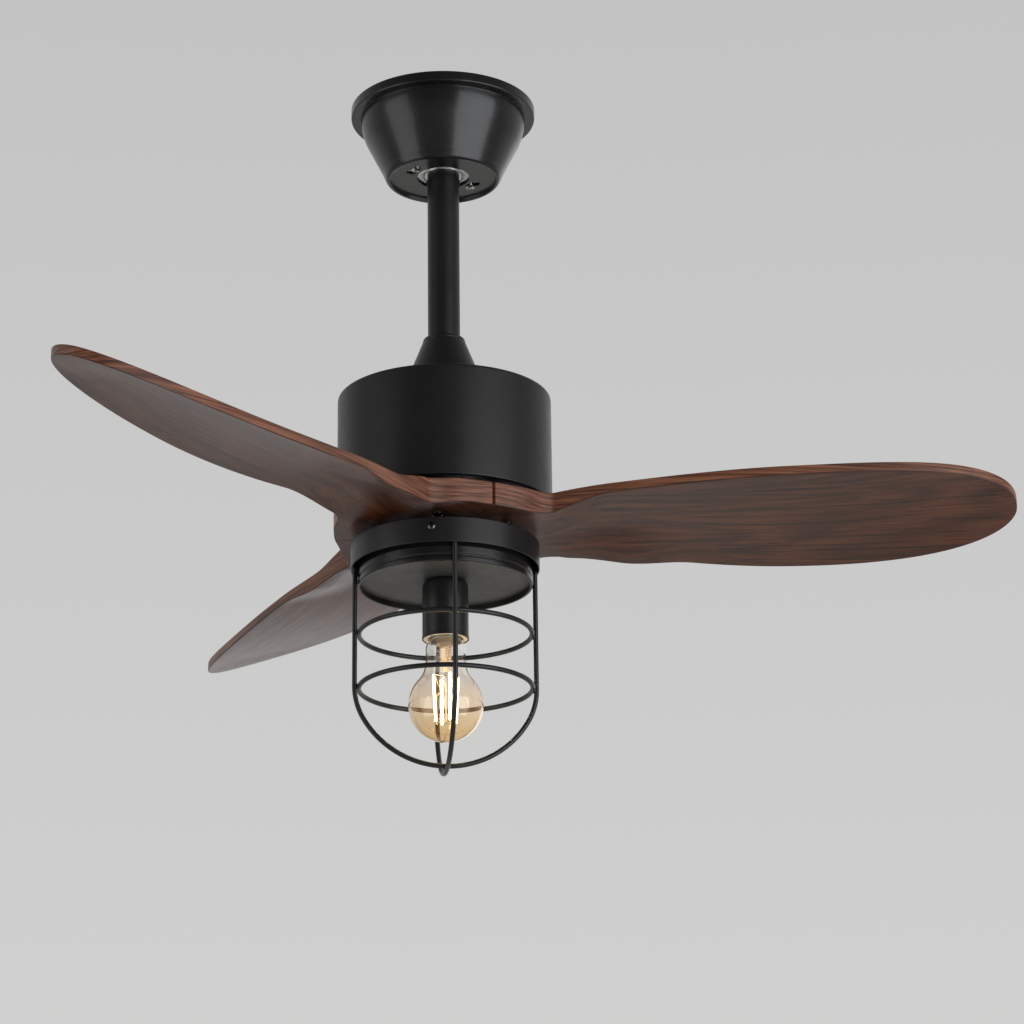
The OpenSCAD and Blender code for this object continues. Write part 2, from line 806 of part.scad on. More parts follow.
module blade(index) {
    color(walnut) rotate([0, 0, blade_azimuth + 120 * (index - 1)]) difference() {
        blade_solid();
        for (p = hub_screws) translate([p[0], p[1], 0])
            rod_z(hub_screw_r + slip, hub_top_z + cut, hub_end_z - cut);
    }
}

module blade_screws() {
    color(black) at_hub_screws() screw_up(hub_end_z, 4.5, 2.2, hub_screw_r, hub_t + blade_plate_t);
}

// Light kit --------------------------------------------------------------------------

module light_mount_plate() {
    color(black) pipe_z(light_r - light_ring_t, shaft_r, light_top_z, light_top_z - mount_plate_t);
}

module light_nut() {
    color(zinc) hex_nut(24, shaft_r, light_top_z - mount_plate_t, light_top_z - mount_plate_t - 6);
}

module light_ring() {
    color(black) difference() {
        pipe_z(light_r, light_r - light_ring_t, light_top_z, light_end_z);
        around(3, 0, ring_screw_azimuth) translate([0, 0, ring_screw_z]) rotate([0, 90, 0])
            cylinder(r = ring_screw_r + slip, h = light_r + cut);
    }
}

module ring_screws() {
    head_r = 3;
    head_h = 1.6;
    color(black) around(3, light_r, ring_screw_azimuth) translate([0, 0, ring_screw_z])
        rotate([0, -90, 0]) screw_up(0, head_r, head_h, ring_screw_r, light_r - pan_r);
}

module light_pan() {
    band = pan_r + 0.8;
    inner = pan_r - pan_t;
    color(black) rotate_extrude() polygon([
        [inner, pan_top_z], [pan_r, pan_top_z], [pan_r, -409.6], [band, -410.4], [band, -416],
        [pan_r, -416.8], [pan_r, -418.2], [band + 0.1, -419], [band + 0.1, -421.7],
        [band - 0.6, pan_end_z],
        [inner, pan_end_z], [inner, lamp_plate_z - lamp_plate_t]
    ]);
}

module lamp_plate() {
    color(plate_grey) pipe_z(pan_r - pan_t, 5 + slip, lamp_plate_z, lamp_plate_z - lamp_plate_t);
}

module holder_nipple() {
    color(brass) {
        pipe_z(5, 3.8, lamp_plate_z + 5, cup_top_z - 5);
        hex_nut(14, 5, lamp_plate_z + 3, lamp_plate_z);
    }
}

// Straight stretch of wire between two points, with a slightly fatter bend at its lower end
module wire_stretch(from, to, last = false) {
    run = to - from;
    translate(from) rotate([0, acos(run[2] / norm(run)), atan2(run[1], run[0])])
        cylinder(r = lamp_wire_r, h = norm(run));
    if (!last) translate(to) sphere(r = lamp_wire_r + 0.15);
}

// Two wires that pass beside both pins in the downrod, then close up inside the shaft
module lamp_wires() {
    beside_pins = [4.8, 4.2];
    inside_shaft = 1.6;
    color("white") for (side = [-1, 1]) {
        start = [side * beside_pins[0], beside_pins[1], rod_top_z - 2];
        bend = [start[0], start[1], coupling_pin_z - 6];
        entry = [side * inside_shaft, 0, rod_end_z - 1];
        wire_stretch(start, bend);
        wire_stretch(bend, entry);
        wire_stretch(entry, [entry[0], 0, cup_top_z - 5], true);
    }
}

module lamp_cup() {
    inner = cup_r - cup_t;
    color(black) rotate_extrude() polygon(concat(
        [[5 + slip, cup_top_z]],
        curve([cup_r - cup_shoulder_r, cup_top_z], [cup_r, cup_top_z],
            [cup_r, cup_top_z - cup_shoulder_r], 8),
        [[cup_r, cup_end_z + 2.4], [cup_r + 0.3, cup_end_z + 2], [cup_r + 0.3, cup_end_z + 0.3],
            [cup_r, cup_end_z], [inner, cup_end_z]],
        curve([inner, cup_top_z - cup_shoulder_r], [inner, cup_top_z - cup_t],
            [inner - cup_shoulder_r, cup_top_z - cup_t], 8),
        [[5 + slip, cup_top_z - cup_t]]
    ));
}

module lamp_insulator() {
    outer = cup_r - cup_t - 0.1;
    top = cup_top_z - 8;
    color(cream) difference() {
        pipe_z(outer, insulator_inner_r, top, cup_end_z + 0.4);
        around(2, outer, 90) rod_z(1.2, top + cut, top - 4);
    }
    color(cream) pipe_z(insulator_inner_r + 0.01, 4, top, top - 5);
}

module screw_shell() {
    color(brass) pipe_z(insulator_inner_r, shell_inner_r, cup_top_z - 13, cup_end_z + 4);
}

module centre_contact() {
    top = cup_top_z - 13;
    color(brass) {
        translate([-9, -3, top - 0.8]) cube([18, 6, 0.8]);
        rod_z(3, top - 0.8, cap_top_z + 2.6);
    }
}

// Bulb -------------------------------------------------------------------------------

module bulb_cap() {
    thread_pitch = 3.6;
    turns = 5;
    thread_top = cap_top_z - 3;
    color(zinc) rotate_extrude() polygon(concat(
        [[0, cap_top_z + 2], [4.5, cap_top_z + 2], [5, cap_top_z], [11.6, thread_top]],
        [for (i = [0:turns * 6]) [cap_r - 0.45 - 0.45 * cos(60 * i), thread_top - i * thread_pitch / 6]],
        [[cap_r - 0.6, cap_end_z], [12.2, cap_end_z], [12.2, thread_top - 1], [0, thread_top - 1]]
    ));
}

function glass_profile(inset) =
    let (
        r = bulb_r - inset,
        join = 42,
        end = [r * cos(join), bulb_centre_z + r * sin(join)],
        lean = (end[0] - neck_r + inset - 0.2) / sin(join)
    )
    concat(
        [[12 - inset, cap_end_z + 6], [12 - inset, cap_end_z]],
        curve([12.4 - inset, cap_end_z - 0.8], [neck_r - inset, cap_end_z - 1.8],
            [neck_r - inset, cap_end_z - 7], 6),
        curve([neck_r - inset, cap_end_z - 15],
            [end[0] - lean * sin(join), end[1] + lean * cos(join)], end, 8),
        [for (a = [join - 6:-6:-84]) [r * cos(a), bulb_centre_z + r * sin(a)]],
        [[0, bulb_centre_z - r]]
    );

module bulb_glass() {
    color(amber) rotate_extrude() polygon(concat(glass_profile(0), reversed(glass_profile(glass_t))));
}

// Glass stem with a flared foot and a fine tip
module bulb_stem() {
    color(amber) union() {
        rod_z(7, cap_end_z + 5, cap_end_z - 3);
        rod_z(5, cap_end_z - 3, cap_end_z - 15);
        rod_z(3, cap_end_z - 15, stem_end_z);
    }
}

// Centre wire below the stem, with a four-armed cross just past each end of the filaments
module bulb_wires() {
    past = support_wire_r + 0.15;
    end_ring = filament_ring - filament_lean;
    color(steel) union() {
        rod_z(support_wire_r, stem_end_z, filament_end_z - past);
        around(4, 0, filament_azimuth) {
            translate([0, 0, filament_top_z + past]) rotate([0, 90, 0])
                cylinder(r = support_wire_r, h = filament_ring);
            translate([0, 0, filament_end_z - past]) rotate([0, 90, 0])
                cylinder(r = support_wire_r, h = end_ring);
        }
    }
}

// Four upright filaments round the stem, leaning in a little towards their lower ends
module bulb_filaments() {
    lean_angle = asin(filament_lean / (filament_top_z - filament_end_z));
    color([1, 0.85, 0.55]) around(4, filament_ring, filament_azimuth) translate([0, 0, filament_top_z])
        rotate([0, 180 + lean_angle, 0]) cylinder(r = filament_r, h = filament_top_z - filament_end_z);
}

// Cage -------------------------------------------------------------------------------

// Centre line of half an arch in the XZ plane: down the straight bar, round the corner, then along the
// flatter crown to the axis
function half_arch(drop) =
    let (
        steps = 9,
        corner_x = bar_ring_r - arch_corner_r,
        rise_left = arch_rise - arch_corner_r,
        crown_r = (pow(corner_x, 2) + pow(arch_rise, 2) - pow(arch_corner_r, 2)) / (2 * rise_left),
        start_z = spring_z - drop,
        crown_z = start_z - arch_rise + crown_r,
        turn = atan2(crown_r - arch_rise, corner_x)
    )
    concat(
        [[bar_ring_r, bar_top_z]],
        [for (i = [0:steps]) let (a = turn * i / steps)
            [corner_x + arch_corner_r * cos(a), start_z - arch_corner_r * sin(a)]],
        [for (i = [1:steps]) let (a = mix(turn, 90, i / steps))
            [crown_r * cos(a), crown_z - crown_r * sin(a)]]
    );

// Ring of points across a wire at step i of its centre line
function wire_ring(path, i, sides = 16) =
    let (
        run = path[min(len(path) - 1, i + 1)] - path[max(0, i - 1)],
        d = run / norm(run)
    )
    [for (j = [0:sides - 1]) let (across = wire_r * cos(360 * j / sides))
        [path[i][0] - across * d[1], -wire_r * sin(360 * j / sides), path[i][1] + across * d[0]]];

module arch(drop) {
    half = half_arch(drop);
    path = concat(half, [for (i = [len(half) - 2:-1:0]) [-half[i][0], half[i][1]]]);
    loft([for (i = [0:len(path) - 1]) wire_ring(path, i)]);
}

module cage_arch_side() {
    color(black) rotate([0, 0, cage_turn]) arch(0);
}

module cage_arch_front() {
    color(black) rotate([0, 0, cage_turn + 90]) arch(front_arch_drop);
}

module cage_ring(z) {
    color(black) translate([0, 0, z]) rotate_extrude() translate([cage_ring_r, 0]) circle(r = wire_r);
}

module cage_tabs() {
    color(black) around(4, pan_r + 0.8, cage_turn) translate([0, -3, -415.8]) cube([1.2, 6, 5]);
}

ceiling_bracket();
terminal_block();
terminal_screws();
earth_screw();
canopy();
canopy_screws();
ball_seat_liner();
hanger_ball();
ball_cross_pin();
ball_set_screw();
downrod();
coupling_cover();
cover_set_screw();
motor_coupling();
coupling_pin();
pin_clip();
coupling_screws();
motor_housing();
housing_lock_nut();
hollow_shaft();
run_capacitor();
stator_core();
stator_coils();
bearing_inner_races();
bearing_outer_races();
bearing_balls();
rotor_core();
rotor_top_bell();
rotor_bottom_bell();
rotor_bolts();
blade_plate();
blade_plate_screws();
blade(1);  // blade_1
blade(2);  // blade_2
blade(3);  // blade_3
blade_screws();
light_mount_plate();
light_nut();
light_ring();
ring_screws();
light_pan();
lamp_plate();
lamp_wires();
holder_nipple();
lamp_cup();
lamp_insulator();
screw_shell();
centre_contact();
bulb_cap();
bulb_glass();
bulb_stem();
bulb_wires();
bulb_filaments();
cage_arch_side();
cage_arch_front();
cage_ring(upper_ring_z);  // cage_ring_upper
cage_ring(lower_ring_z);  // cage_ring_lower
cage_tabs();
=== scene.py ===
"""Looks, light and camera for a ceiling fan with three walnut blades and a caged lamp.

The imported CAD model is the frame. Round shells, blades, cage wires and the bulb are rebuilt here as smooth
meshes in the same places; every other node keeps its CAD shape and gets a procedural material.
Lengths are in metres. MM turns a length in millimetres into metres.
"""

import math

import bmesh
import bpy
from mathutils import Matrix, Vector


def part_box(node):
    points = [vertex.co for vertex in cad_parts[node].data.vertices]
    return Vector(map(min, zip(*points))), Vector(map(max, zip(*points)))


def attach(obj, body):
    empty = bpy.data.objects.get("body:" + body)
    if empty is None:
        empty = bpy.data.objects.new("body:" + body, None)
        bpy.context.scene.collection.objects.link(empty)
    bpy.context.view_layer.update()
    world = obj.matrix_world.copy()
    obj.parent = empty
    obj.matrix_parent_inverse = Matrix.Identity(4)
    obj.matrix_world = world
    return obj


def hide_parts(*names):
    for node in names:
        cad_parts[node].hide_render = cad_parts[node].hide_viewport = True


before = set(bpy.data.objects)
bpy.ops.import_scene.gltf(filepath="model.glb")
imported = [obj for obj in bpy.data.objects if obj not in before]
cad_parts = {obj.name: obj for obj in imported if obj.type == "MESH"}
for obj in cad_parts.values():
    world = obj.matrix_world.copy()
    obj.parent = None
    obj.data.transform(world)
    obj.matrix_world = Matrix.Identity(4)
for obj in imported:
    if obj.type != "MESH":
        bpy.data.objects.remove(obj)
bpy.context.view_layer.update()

MM = 0.001
SEGMENTS = 160


# Node trees ---------------------------------------------------------------------------------------


def add(tree, kind, inputs=None, **settings):
    """A new node with its settings, its inputs either set to values or linked to sockets."""
    made = tree.nodes.new(kind)
    for name, value in settings.items():
        setattr(made, name, value)
    for key, value in (inputs or {}).items():
        if isinstance(value, bpy.types.NodeSocket):
            tree.links.new(value, made.inputs[key])
        else:
            made.inputs[key].default_value = value
    return made


def new_material(name, **shader_values):
    """A material with its node tree and Principled shader, whose constant inputs are set by name."""
    material = bpy.data.materials.new(name)
    material.use_nodes = True
    tree = material.node_tree
    shader = tree.nodes["Principled BSDF"]
    for key, value in shader_values.items():
        shader.inputs[key.replace("_", " ")].default_value = value
    return material, tree, shader


def local_coords(tree, scale=(1, 1, 1), turn=(0, 0, 0)):
    """The piece's own coordinates, scaled, so that a pattern moves with the piece."""
    place = add(tree, "ShaderNodeTexCoord")
    mapped = add(tree, "ShaderNodeMapping", {
        "Vector": place.outputs["Object"], "Scale": scale, "Rotation": turn,
    })
    return mapped.outputs["Vector"]


def noise(tree, coords, scale, detail=3.0, roughness=0.5, distortion=0.0):
    made = add(tree, "ShaderNodeTexNoise", {
        "Vector": coords, "Scale": scale, "Detail": detail, "Roughness": roughness, "Distortion": distortion,
    })
    return made.outputs["Fac"]


def remap(tree, value, low, high, to_low, to_high):
    made = add(tree, "ShaderNodeMapRange", {
        "Value": value, "From Min": low, "From Max": high, "To Min": to_low, "To Max": to_high,
    })
    return made.outputs["Result"]


def maths(tree, operation, *values):
    return add(tree, "ShaderNodeMath", dict(enumerate(values)), operation=operation).outputs[0]


def ramp(tree, value, stops):
    """Colour ramp through (position, colour) stops."""
    made = add(tree, "ShaderNodeValToRGB", {"Fac": value})
    elements = made.color_ramp.elements
    for index, (position, colour) in enumerate(stops):
        element = elements[index] if index < 2 else elements.new(position)
        element.position = position
        element.color = (*colour, 1.0)
    return made.outputs["Color"]


def relief(tree, shader, height, depth):
    """Bumps the surface by height times depth metres."""
    bump = add(tree, "ShaderNodeBump", {"Height": height, "Strength": 1.0, "Distance": depth})
    tree.links.new(bump.outputs["Normal"], shader.inputs["Normal"])


# Materials ----------------------------------------------------------------------------------------


def coated_metal(name, dark, light, gloss, grain, depth, coat=0.0):
    """Sprayed paint on steel: cloudy colour and gloss, and the fine orange peel of a baked coat."""
    material, tree, shader = new_material(name, Coat_Weight=coat, Coat_Roughness=0.12)
    coords = local_coords(tree)
    clouds = noise(tree, coords, 14.0, 4.0)
    specks = noise(tree, coords, grain, 2.0, 0.6)
    colour = ramp(tree, clouds, [(0.3, dark), (0.7, light)])
    tree.links.new(colour, shader.inputs["Base Color"])
    smears = noise(tree, coords, 60.0, 5.0, 0.65)
    tree.links.new(remap(tree, smears, 0.3, 0.7, *gloss), shader.inputs["Roughness"])
    relief(tree, shader, specks, depth)
    return material


def satin_black():
    return coated_metal(
        "satin_black", dark=(0.009, 0.009, 0.0095), light=(0.013, 0.013, 0.0135),
        gloss=(0.31, 0.40), grain=900.0, depth=0.00005,
    )


def gloss_black():
    return coated_metal(
        "gloss_black", dark=(0.006, 0.006, 0.0065), light=(0.009, 0.009, 0.0095),
        gloss=(0.24, 0.32), grain=420.0, depth=0.00003, coat=0.2,
    )


def shiny_black():
    """The same black where it is buffed, so that beads and rims catch a thin line of light."""
    return coated_metal(
        "shiny_black", dark=(0.007, 0.007, 0.0075), light=(0.011, 0.011, 0.0115),
        gloss=(0.17, 0.24), grain=500.0, depth=0.00003,
    )


def plate_grey():
    return coated_metal(
        "plate_grey", dark=(0.055, 0.055, 0.052), light=(0.07, 0.07, 0.067),
        gloss=(0.42, 0.55), grain=1100.0, depth=0.00008,
    )


def bare_metal(name, colour, gloss, streaks=(90.0, 90.0, 900.0), depth=0.00002):
    """Plated or turned metal: streaky gloss, slightly tarnished in patches."""
    material, tree, shader = new_material(name, Metallic=1.0)
    fine = noise(tree, local_coords(tree, streaks), 1.0, 4.0, 0.6)
    patches = noise(tree, local_coords(tree), 55.0, 4.0, 0.6)
    dull = [channel * 0.72 for channel in colour]
    tree.links.new(ramp(tree, patches, [(0.35, dull), (0.6, colour)]), shader.inputs["Base Color"])
    tree.links.new(remap(tree, fine, 0.3, 0.7, *gloss), shader.inputs["Roughness"])
    relief(tree, shader, fine, depth)
    return material


def moulded(name, dark, light, gloss, depth=0.00004):
    """Moulded plastic with a fine spark-eroded grain."""
    material, tree, shader = new_material(name)
    coords = local_coords(tree)
    colour = ramp(tree, noise(tree, coords, 30.0), [(0.3, dark), (0.7, light)])
    tree.links.new(colour, shader.inputs["Base Color"])
    tree.links.new(remap(tree, noise(tree, coords, 200.0), 0.3, 0.7, *gloss), shader.inputs["Roughness"])
    relief(tree, shader, noise(tree, coords, 1600.0, 2.0), depth)
    return material


def porcelain():
    """Glazed cream ceramic: warm, with a slightly wavy glaze and tiny firing specks."""
    material, tree, shader = new_material("porcelain", Coat_Weight=0.5, Coat_Roughness=0.08)
    coords = local_coords(tree)
    specks = noise(tree, coords, 700.0, 2.0)
    colour = ramp(tree, specks, [(0.25, (0.45, 0.33, 0.2)), (0.34, (0.78, 0.66, 0.48))])
    tree.links.new(colour, shader.inputs["Base Color"])
    tree.links.new(remap(tree, noise(tree, coords, 90.0), 0.3, 0.7, 0.18, 0.3), shader.inputs["Roughness"])
    relief(tree, shader, noise(tree, coords, 160.0, 2.0), 0.0001)
    return material


def stretched(tree, vector, scale, turn=(0, 0, 0), shift=(0, 0, 0)):
    """Coordinates turned and then scaled, so that a cloud pattern drawn out along one axis gives streaks."""
    turned = add(tree, "ShaderNodeMapping", {"Vector": vector, "Rotation": turn, "Location": shift})
    scaled = add(tree, "ShaderNodeMapping", {"Vector": turned.outputs["Vector"], "Scale": scale})
    return scaled.outputs["Vector"]


def along_blade(tree, azimuth, shift):
    """Coordinates with X along one blade and Y across it, shifted so that each blade has its own figure."""
    place = add(tree, "ShaderNodeTexCoord").outputs["Object"]
    return stretched(tree, place, (1, 1, 1), (0, 0, -math.radians(azimuth)), (shift, shift * 0.37, 0))


def growth_rings(tree, vector, lines):
    """Contour lines of a drawn-out cloud, which is how growth rings show on a flat-sawn face."""
    cloud = noise(tree, vector, 1.0, 1.2, 0.4, 0.15)
    wave = maths(tree, "SINE", maths(tree, "MULTIPLY", cloud, lines))
    return remap(tree, wave, -1.0, 1.0, 0.0, 1.0)


def multiplied(tree, colour, factor):
    inputs = {"Fac": 1.0, "Color1": colour, "Color2": factor}
    mixed = add(tree, "ShaderNodeMixRGB", inputs, blend_type="MULTIPLY")
    return mixed.outputs["Color"]


def walnut_face(azimuth, shift):
    """Dark walnut veneer: fine straight grain, drawn-out rings and thin dark lines under a lacquer."""
    material, tree, shader = new_material("walnut_face", IOR=1.42)
    blade = along_blade(tree, azimuth, shift)
    rings = growth_rings(tree, stretched(tree, blade, (1.8, 15.0, 15.0)), 95.0)
    bands = noise(tree, stretched(tree, blade, (0.9, 60.0, 60.0)), 1.0, 3.0, 0.6)
    fibres = noise(tree, stretched(tree, blade, (5.0, 900.0, 900.0)), 1.0, 4.0, 0.65)
    lines = noise(tree, stretched(tree, blade, (2.4, 420.0, 420.0)), 1.0, 2.0, 0.5, 0.1)
    pores = noise(tree, stretched(tree, blade, (45.0, 2400.0, 2400.0)), 1.0, 1.0, 0.5)
    tone = maths(tree, "ADD", maths(tree, "MULTIPLY", rings, 0.13), maths(tree, "MULTIPLY", bands, 0.37))
    tone = maths(tree, "ADD", tone, maths(tree, "MULTIPLY", fibres, 0.50))
    colour = ramp(tree, tone, [
        (0.32, (0.034, 0.0092, 0.0038)), (0.44, (0.070, 0.0198, 0.0074)),
        (0.55, (0.108, 0.0315, 0.0112)), (0.68, (0.150, 0.0460, 0.0168)),
    ])
    dark_lines = remap(tree, lines, 0.36, 0.46, 0.40, 1.0)
    dark_pores = remap(tree, pores, 0.34, 0.46, 0.45, 1.0)
    colour = multiplied(tree, multiplied(tree, colour, dark_lines), dark_pores)
    tree.links.new(colour, shader.inputs["Base Color"])
    tree.links.new(remap(tree, fibres, 0.3, 0.7, 0.36, 0.28), shader.inputs["Roughness"])
    relief(tree, shader, maths(tree, "ADD", fibres, dark_pores), 0.00003)
    return material


def walnut_edge(azimuth, shift, low=0.0, high=1.0):
    """Redder banding round the blade's edge, whose grain runs out in long slanting lines."""
    material, tree, shader = new_material("walnut_edge", IOR=1.45, Coat_Weight=0.2, Coat_Roughness=0.36)
    blade = along_blade(tree, azimuth, shift)
    slant = (0, math.radians(-2.5), 0)
    streaks = noise(tree, stretched(tree, blade, (7.0, 40.0, 520.0), slant), 1.0, 3.0, 0.6)
    fibres = noise(tree, stretched(tree, blade, (20.0, 90.0, 1900.0), slant), 1.0, 3.0, 0.6)
    tone = maths(tree, "ADD", maths(tree, "MULTIPLY", streaks, 0.6), maths(tree, "MULTIPLY", fibres, 0.4))
    tone = remap(tree, tone, 0.37, 0.63, low, high)
    colour = ramp(tree, tone, [
        (0.0, (0.050, 0.0165, 0.0085)), (0.3, (0.125, 0.0430, 0.0210)),
        (0.62, (0.230, 0.0860, 0.0440)), (1.0, (0.360, 0.1480, 0.0800)),
    ])
    tree.links.new(colour, shader.inputs["Base Color"])
    tree.links.new(remap(tree, fibres, 0.3, 0.7, 0.5, 0.38), shader.inputs["Roughness"])
    relief(tree, shader, fibres, 0.00005)
    return material


def amber_glass():
    """Thin blown glass, clear at the neck and amber below, with faint flow waves, and a painted warm glow
    that stands in for the filaments' light on the glass.
    """
    material, tree, shader = new_material("amber_glass", IOR=1.46, Roughness=0.0)
    shader.inputs["Transmission Weight"].default_value = 1.0
    low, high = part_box("bulb_glass")
    height = add(tree, "ShaderNodeSeparateXYZ", {"Vector": local_coords(tree)}).outputs["Z"]
    streaks = noise(tree, local_coords(tree, (30.0, 30.0, 12.0)), 1.0, 3.0)
    level = remap(tree, height, low.z, high.z, 0.0, 1.0)
    level = maths(tree, "ADD", level, maths(tree, "MULTIPLY", streaks, 0.08))
    colour = ramp(tree, level, [
        (0.04, (0.88, 0.71, 0.44)), (0.25, (0.96, 0.87, 0.70)),
        (0.55, (0.985, 0.95, 0.883)), (0.85, (0.99, 0.98, 0.96)),
    ])
    # painted glow: a warm emission, strongest low on the ball, stands in for the filaments' light on the
    # glass, which is no lamp itself
    painted_glow = ramp(tree, level, [
        (0.1, (0.018, 0.007, 0.0005)), (0.45, (0.030, 0.012, 0.002)), (0.8, (0.003, 0.0015, 0.0005)),
    ])
    tree.links.new(painted_glow, shader.inputs["Emission Color"])
    shader.inputs["Emission Strength"].default_value = 1.0
    tree.links.new(colour, shader.inputs["Base Color"])
    relief(tree, shader, noise(tree, local_coords(tree), 45.0, 1.0), 0.00025)
    return material


def clear_glass():
    """Plain pressed glass, very slightly warm."""
    material, tree, shader = new_material("clear_glass", IOR=1.5)
    shader.inputs["Transmission Weight"].default_value = 1.0
    coords = local_coords(tree)
    tree.links.new(
        ramp(tree, noise(tree, coords, 120.0), [(0.3, (0.93, 0.90, 0.84)), (0.7, (0.98, 0.97, 0.94))]),
        shader.inputs["Base Color"],
    )
    tree.links.new(remap(tree, noise(tree, coords, 300.0), 0.3, 0.7, 0.0, 0.08), shader.inputs["Roughness"])
    relief(tree, shader, noise(tree, coords, 200.0, 2.0), 0.0002)
    return material


def lit_stem():
    """Stem glass with a painted warm glow, an emission that stands in for the filaments' light carried up it,
    fading toward the cap.
    """
    material, tree, shader = new_material("lit_stem", IOR=1.5, Roughness=0.08, Emission_Strength=1.0)
    shader.inputs["Transmission Weight"].default_value = 0.9
    low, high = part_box("bulb_stem")
    height = add(tree, "ShaderNodeSeparateXYZ", {"Vector": local_coords(tree)}).outputs["Z"]
    streaks = noise(tree, local_coords(tree, (300.0, 300.0, 60.0)), 1.0, 2.0)
    level = remap(tree, height, low.z, high.z, 0.0, 1.0)
    level = maths(tree, "ADD", level, maths(tree, "MULTIPLY", streaks, 0.2))
    # painted glow: the stem is no lamp; this emission stands in for the filaments' light inside it
    painted_glow = ramp(tree, level, [
        (0.1, (0.34, 0.22, 0.10)), (0.5, (0.20, 0.115, 0.045)), (0.95, (0.02, 0.009, 0.003)),
    ])
    tree.links.new(painted_glow, shader.inputs["Emission Color"])
    tint = ramp(tree, streaks, [(0.3, (0.9, 0.8, 0.62)), (0.7, (0.98, 0.9, 0.78))])
    tree.links.new(tint, shader.inputs["Base Color"])
    relief(tree, shader, noise(tree, local_coords(tree), 200.0, 2.0), 0.0002)
    return material


def black_oxide():
    """Blackened screw steel, glossy enough to glint."""
    return bare_metal("black_oxide", (0.13, 0.13, 0.135), (0.16, 0.26))


def glowing_filament():
    """Lit phosphor coat: warm white, a little uneven along its length."""
    material, tree, shader = new_material("filament", Roughness=0.6)
    grains = noise(tree, local_coords(tree), 900.0, 2.0)
    colour = ramp(tree, grains, [(0.3, (1.0, 0.66, 0.30)), (0.6, (1.0, 0.78, 0.44))])
    tree.links.new(colour, shader.inputs["Base Color"])
    tree.links.new(colour, shader.inputs["Emission Color"])
    shader.inputs["Emission Strength"].default_value = 34.0
    relief(tree, shader, grains, 0.00005)
    return material


def wire_white():
    return moulded("wire_white", (0.6, 0.59, 0.56), (0.7, 0.69, 0.66), (0.3, 0.42))


MATERIALS = {
    "satin_black": satin_black(),
    "gloss_black": gloss_black(),
    "plate_grey": plate_grey(),
    "zinc": bare_metal("zinc", (0.62, 0.63, 0.65), (0.24, 0.38)),
    "nickel": bare_metal("nickel", (0.68, 0.66, 0.62), (0.14, 0.26)),
    "steel": bare_metal("steel", (0.42, 0.43, 0.45), (0.26, 0.42)),
    "brass": bare_metal("brass", (0.62, 0.43, 0.16), (0.22, 0.36)),
    "copper": bare_metal("copper", (0.70, 0.30, 0.16), (0.24, 0.4), (300.0, 300.0, 3200.0), 0.0002),
    "aluminium": bare_metal("aluminium", (0.60, 0.61, 0.63), (0.34, 0.5), (300.0, 300.0, 300.0), 0.00008),
    "walnut": walnut_face(0, 0),
    "nylon": moulded("nylon", (0.62, 0.58, 0.47), (0.72, 0.68, 0.56), (0.4, 0.55)),
    "black_plastic": moulded("black_plastic", (0.012, 0.012, 0.013), (0.02, 0.02, 0.021), (0.35, 0.5)),
    "porcelain": porcelain(),
    "wire_white": wire_white(),
    "amber_glass": amber_glass(),
    "clear_glass": clear_glass(),
    "filament": glowing_filament(),
}


def paint_cad_nodes():
    """Gives each CAD node's slots the detailed material of the same name, and black screws their glint."""
    screw_steel = black_oxide()
    for name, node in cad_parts.items():
        for place in node.material_slots:
            glinting = name in ("blade_screws", "ring_screws")
            place.material = screw_steel if glinting else MATERIALS[place.material.name.split(".")[0]]


# Mesh building ------------------------------------------------------------------------------------


def piece(name, mesh, body, slot_name, *replaced, materials=None):
    """Puts a mesh in the scene as a piece that rides on a body, and stands for the CAD nodes named."""
    obj = bpy.data.objects.new(name, mesh)
    bpy.context.scene.collection.objects.link(obj)
    for material in materials or [MATERIALS[slot_name]]:
        mesh.materials.append(material)
    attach(obj, body)
    if replaced:
        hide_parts(*replaced)
    return obj


def finish_mesh(name, build, sharp_angle=40):
    """Mesh from a bmesh, smooth except where faces meet more sharply than the angle."""
    bmesh.ops.recalc_face_normals(build, faces=build.faces)
    mesh = bpy.data.meshes.new(name)
    build.to_mesh(mesh)
    build.free()
    mesh.shade_smooth()
    mesh.set_sharp_from_angle(angle=math.radians(sharp_angle))
    return mesh


def keep_flats_flat(obj):
    """Weighs the shading normals by face area, so that flats stay flat beside their rounded edges."""
    modifier = obj.modifiers.new("flats", "WEIGHTED_NORMAL")
    modifier.keep_sharp = True
    modifier.weight = 80


def mix(a, b, t):
    return a + (b - a) * t


def curve(a, b, c, steps=16):
    """Points along a quadratic curve from a to c that leaves and arrives pointing at b, both ends included.
    """
    a, b, c = Vector(a), Vector(b), Vector(c)
    made = [mix(mix(a, b, i / steps), mix(b, c, i / steps), i / steps) for i in range(steps + 1)]
    return [(p.x, p.y, 0) for p in made]


def rounded(corners, steps=5):
    """Closed outline through (radius, height, fillet) corners, in millimetres, each with its own rounding."""
    points = []
    for i, (x, y, fillet) in enumerate(corners):
        here = Vector((x, y))
        if not fillet:
            points.append(here)
            continue
        back = Vector(corners[i - 1][:2]) - here
        ahead = Vector(corners[(i + 1) % len(corners)][:2]) - here
        half = back.angle(ahead) / 2
        reach = min(fillet / math.tan(half), back.length * 0.49, ahead.length * 0.49)
        start, end = here + back.normalized() * reach, here + ahead.normalized() * reach
        for k in range(steps + 1):
            t = k / steps
            points.append(mix(mix(start, here, t), mix(here, end, t), t))
    return points


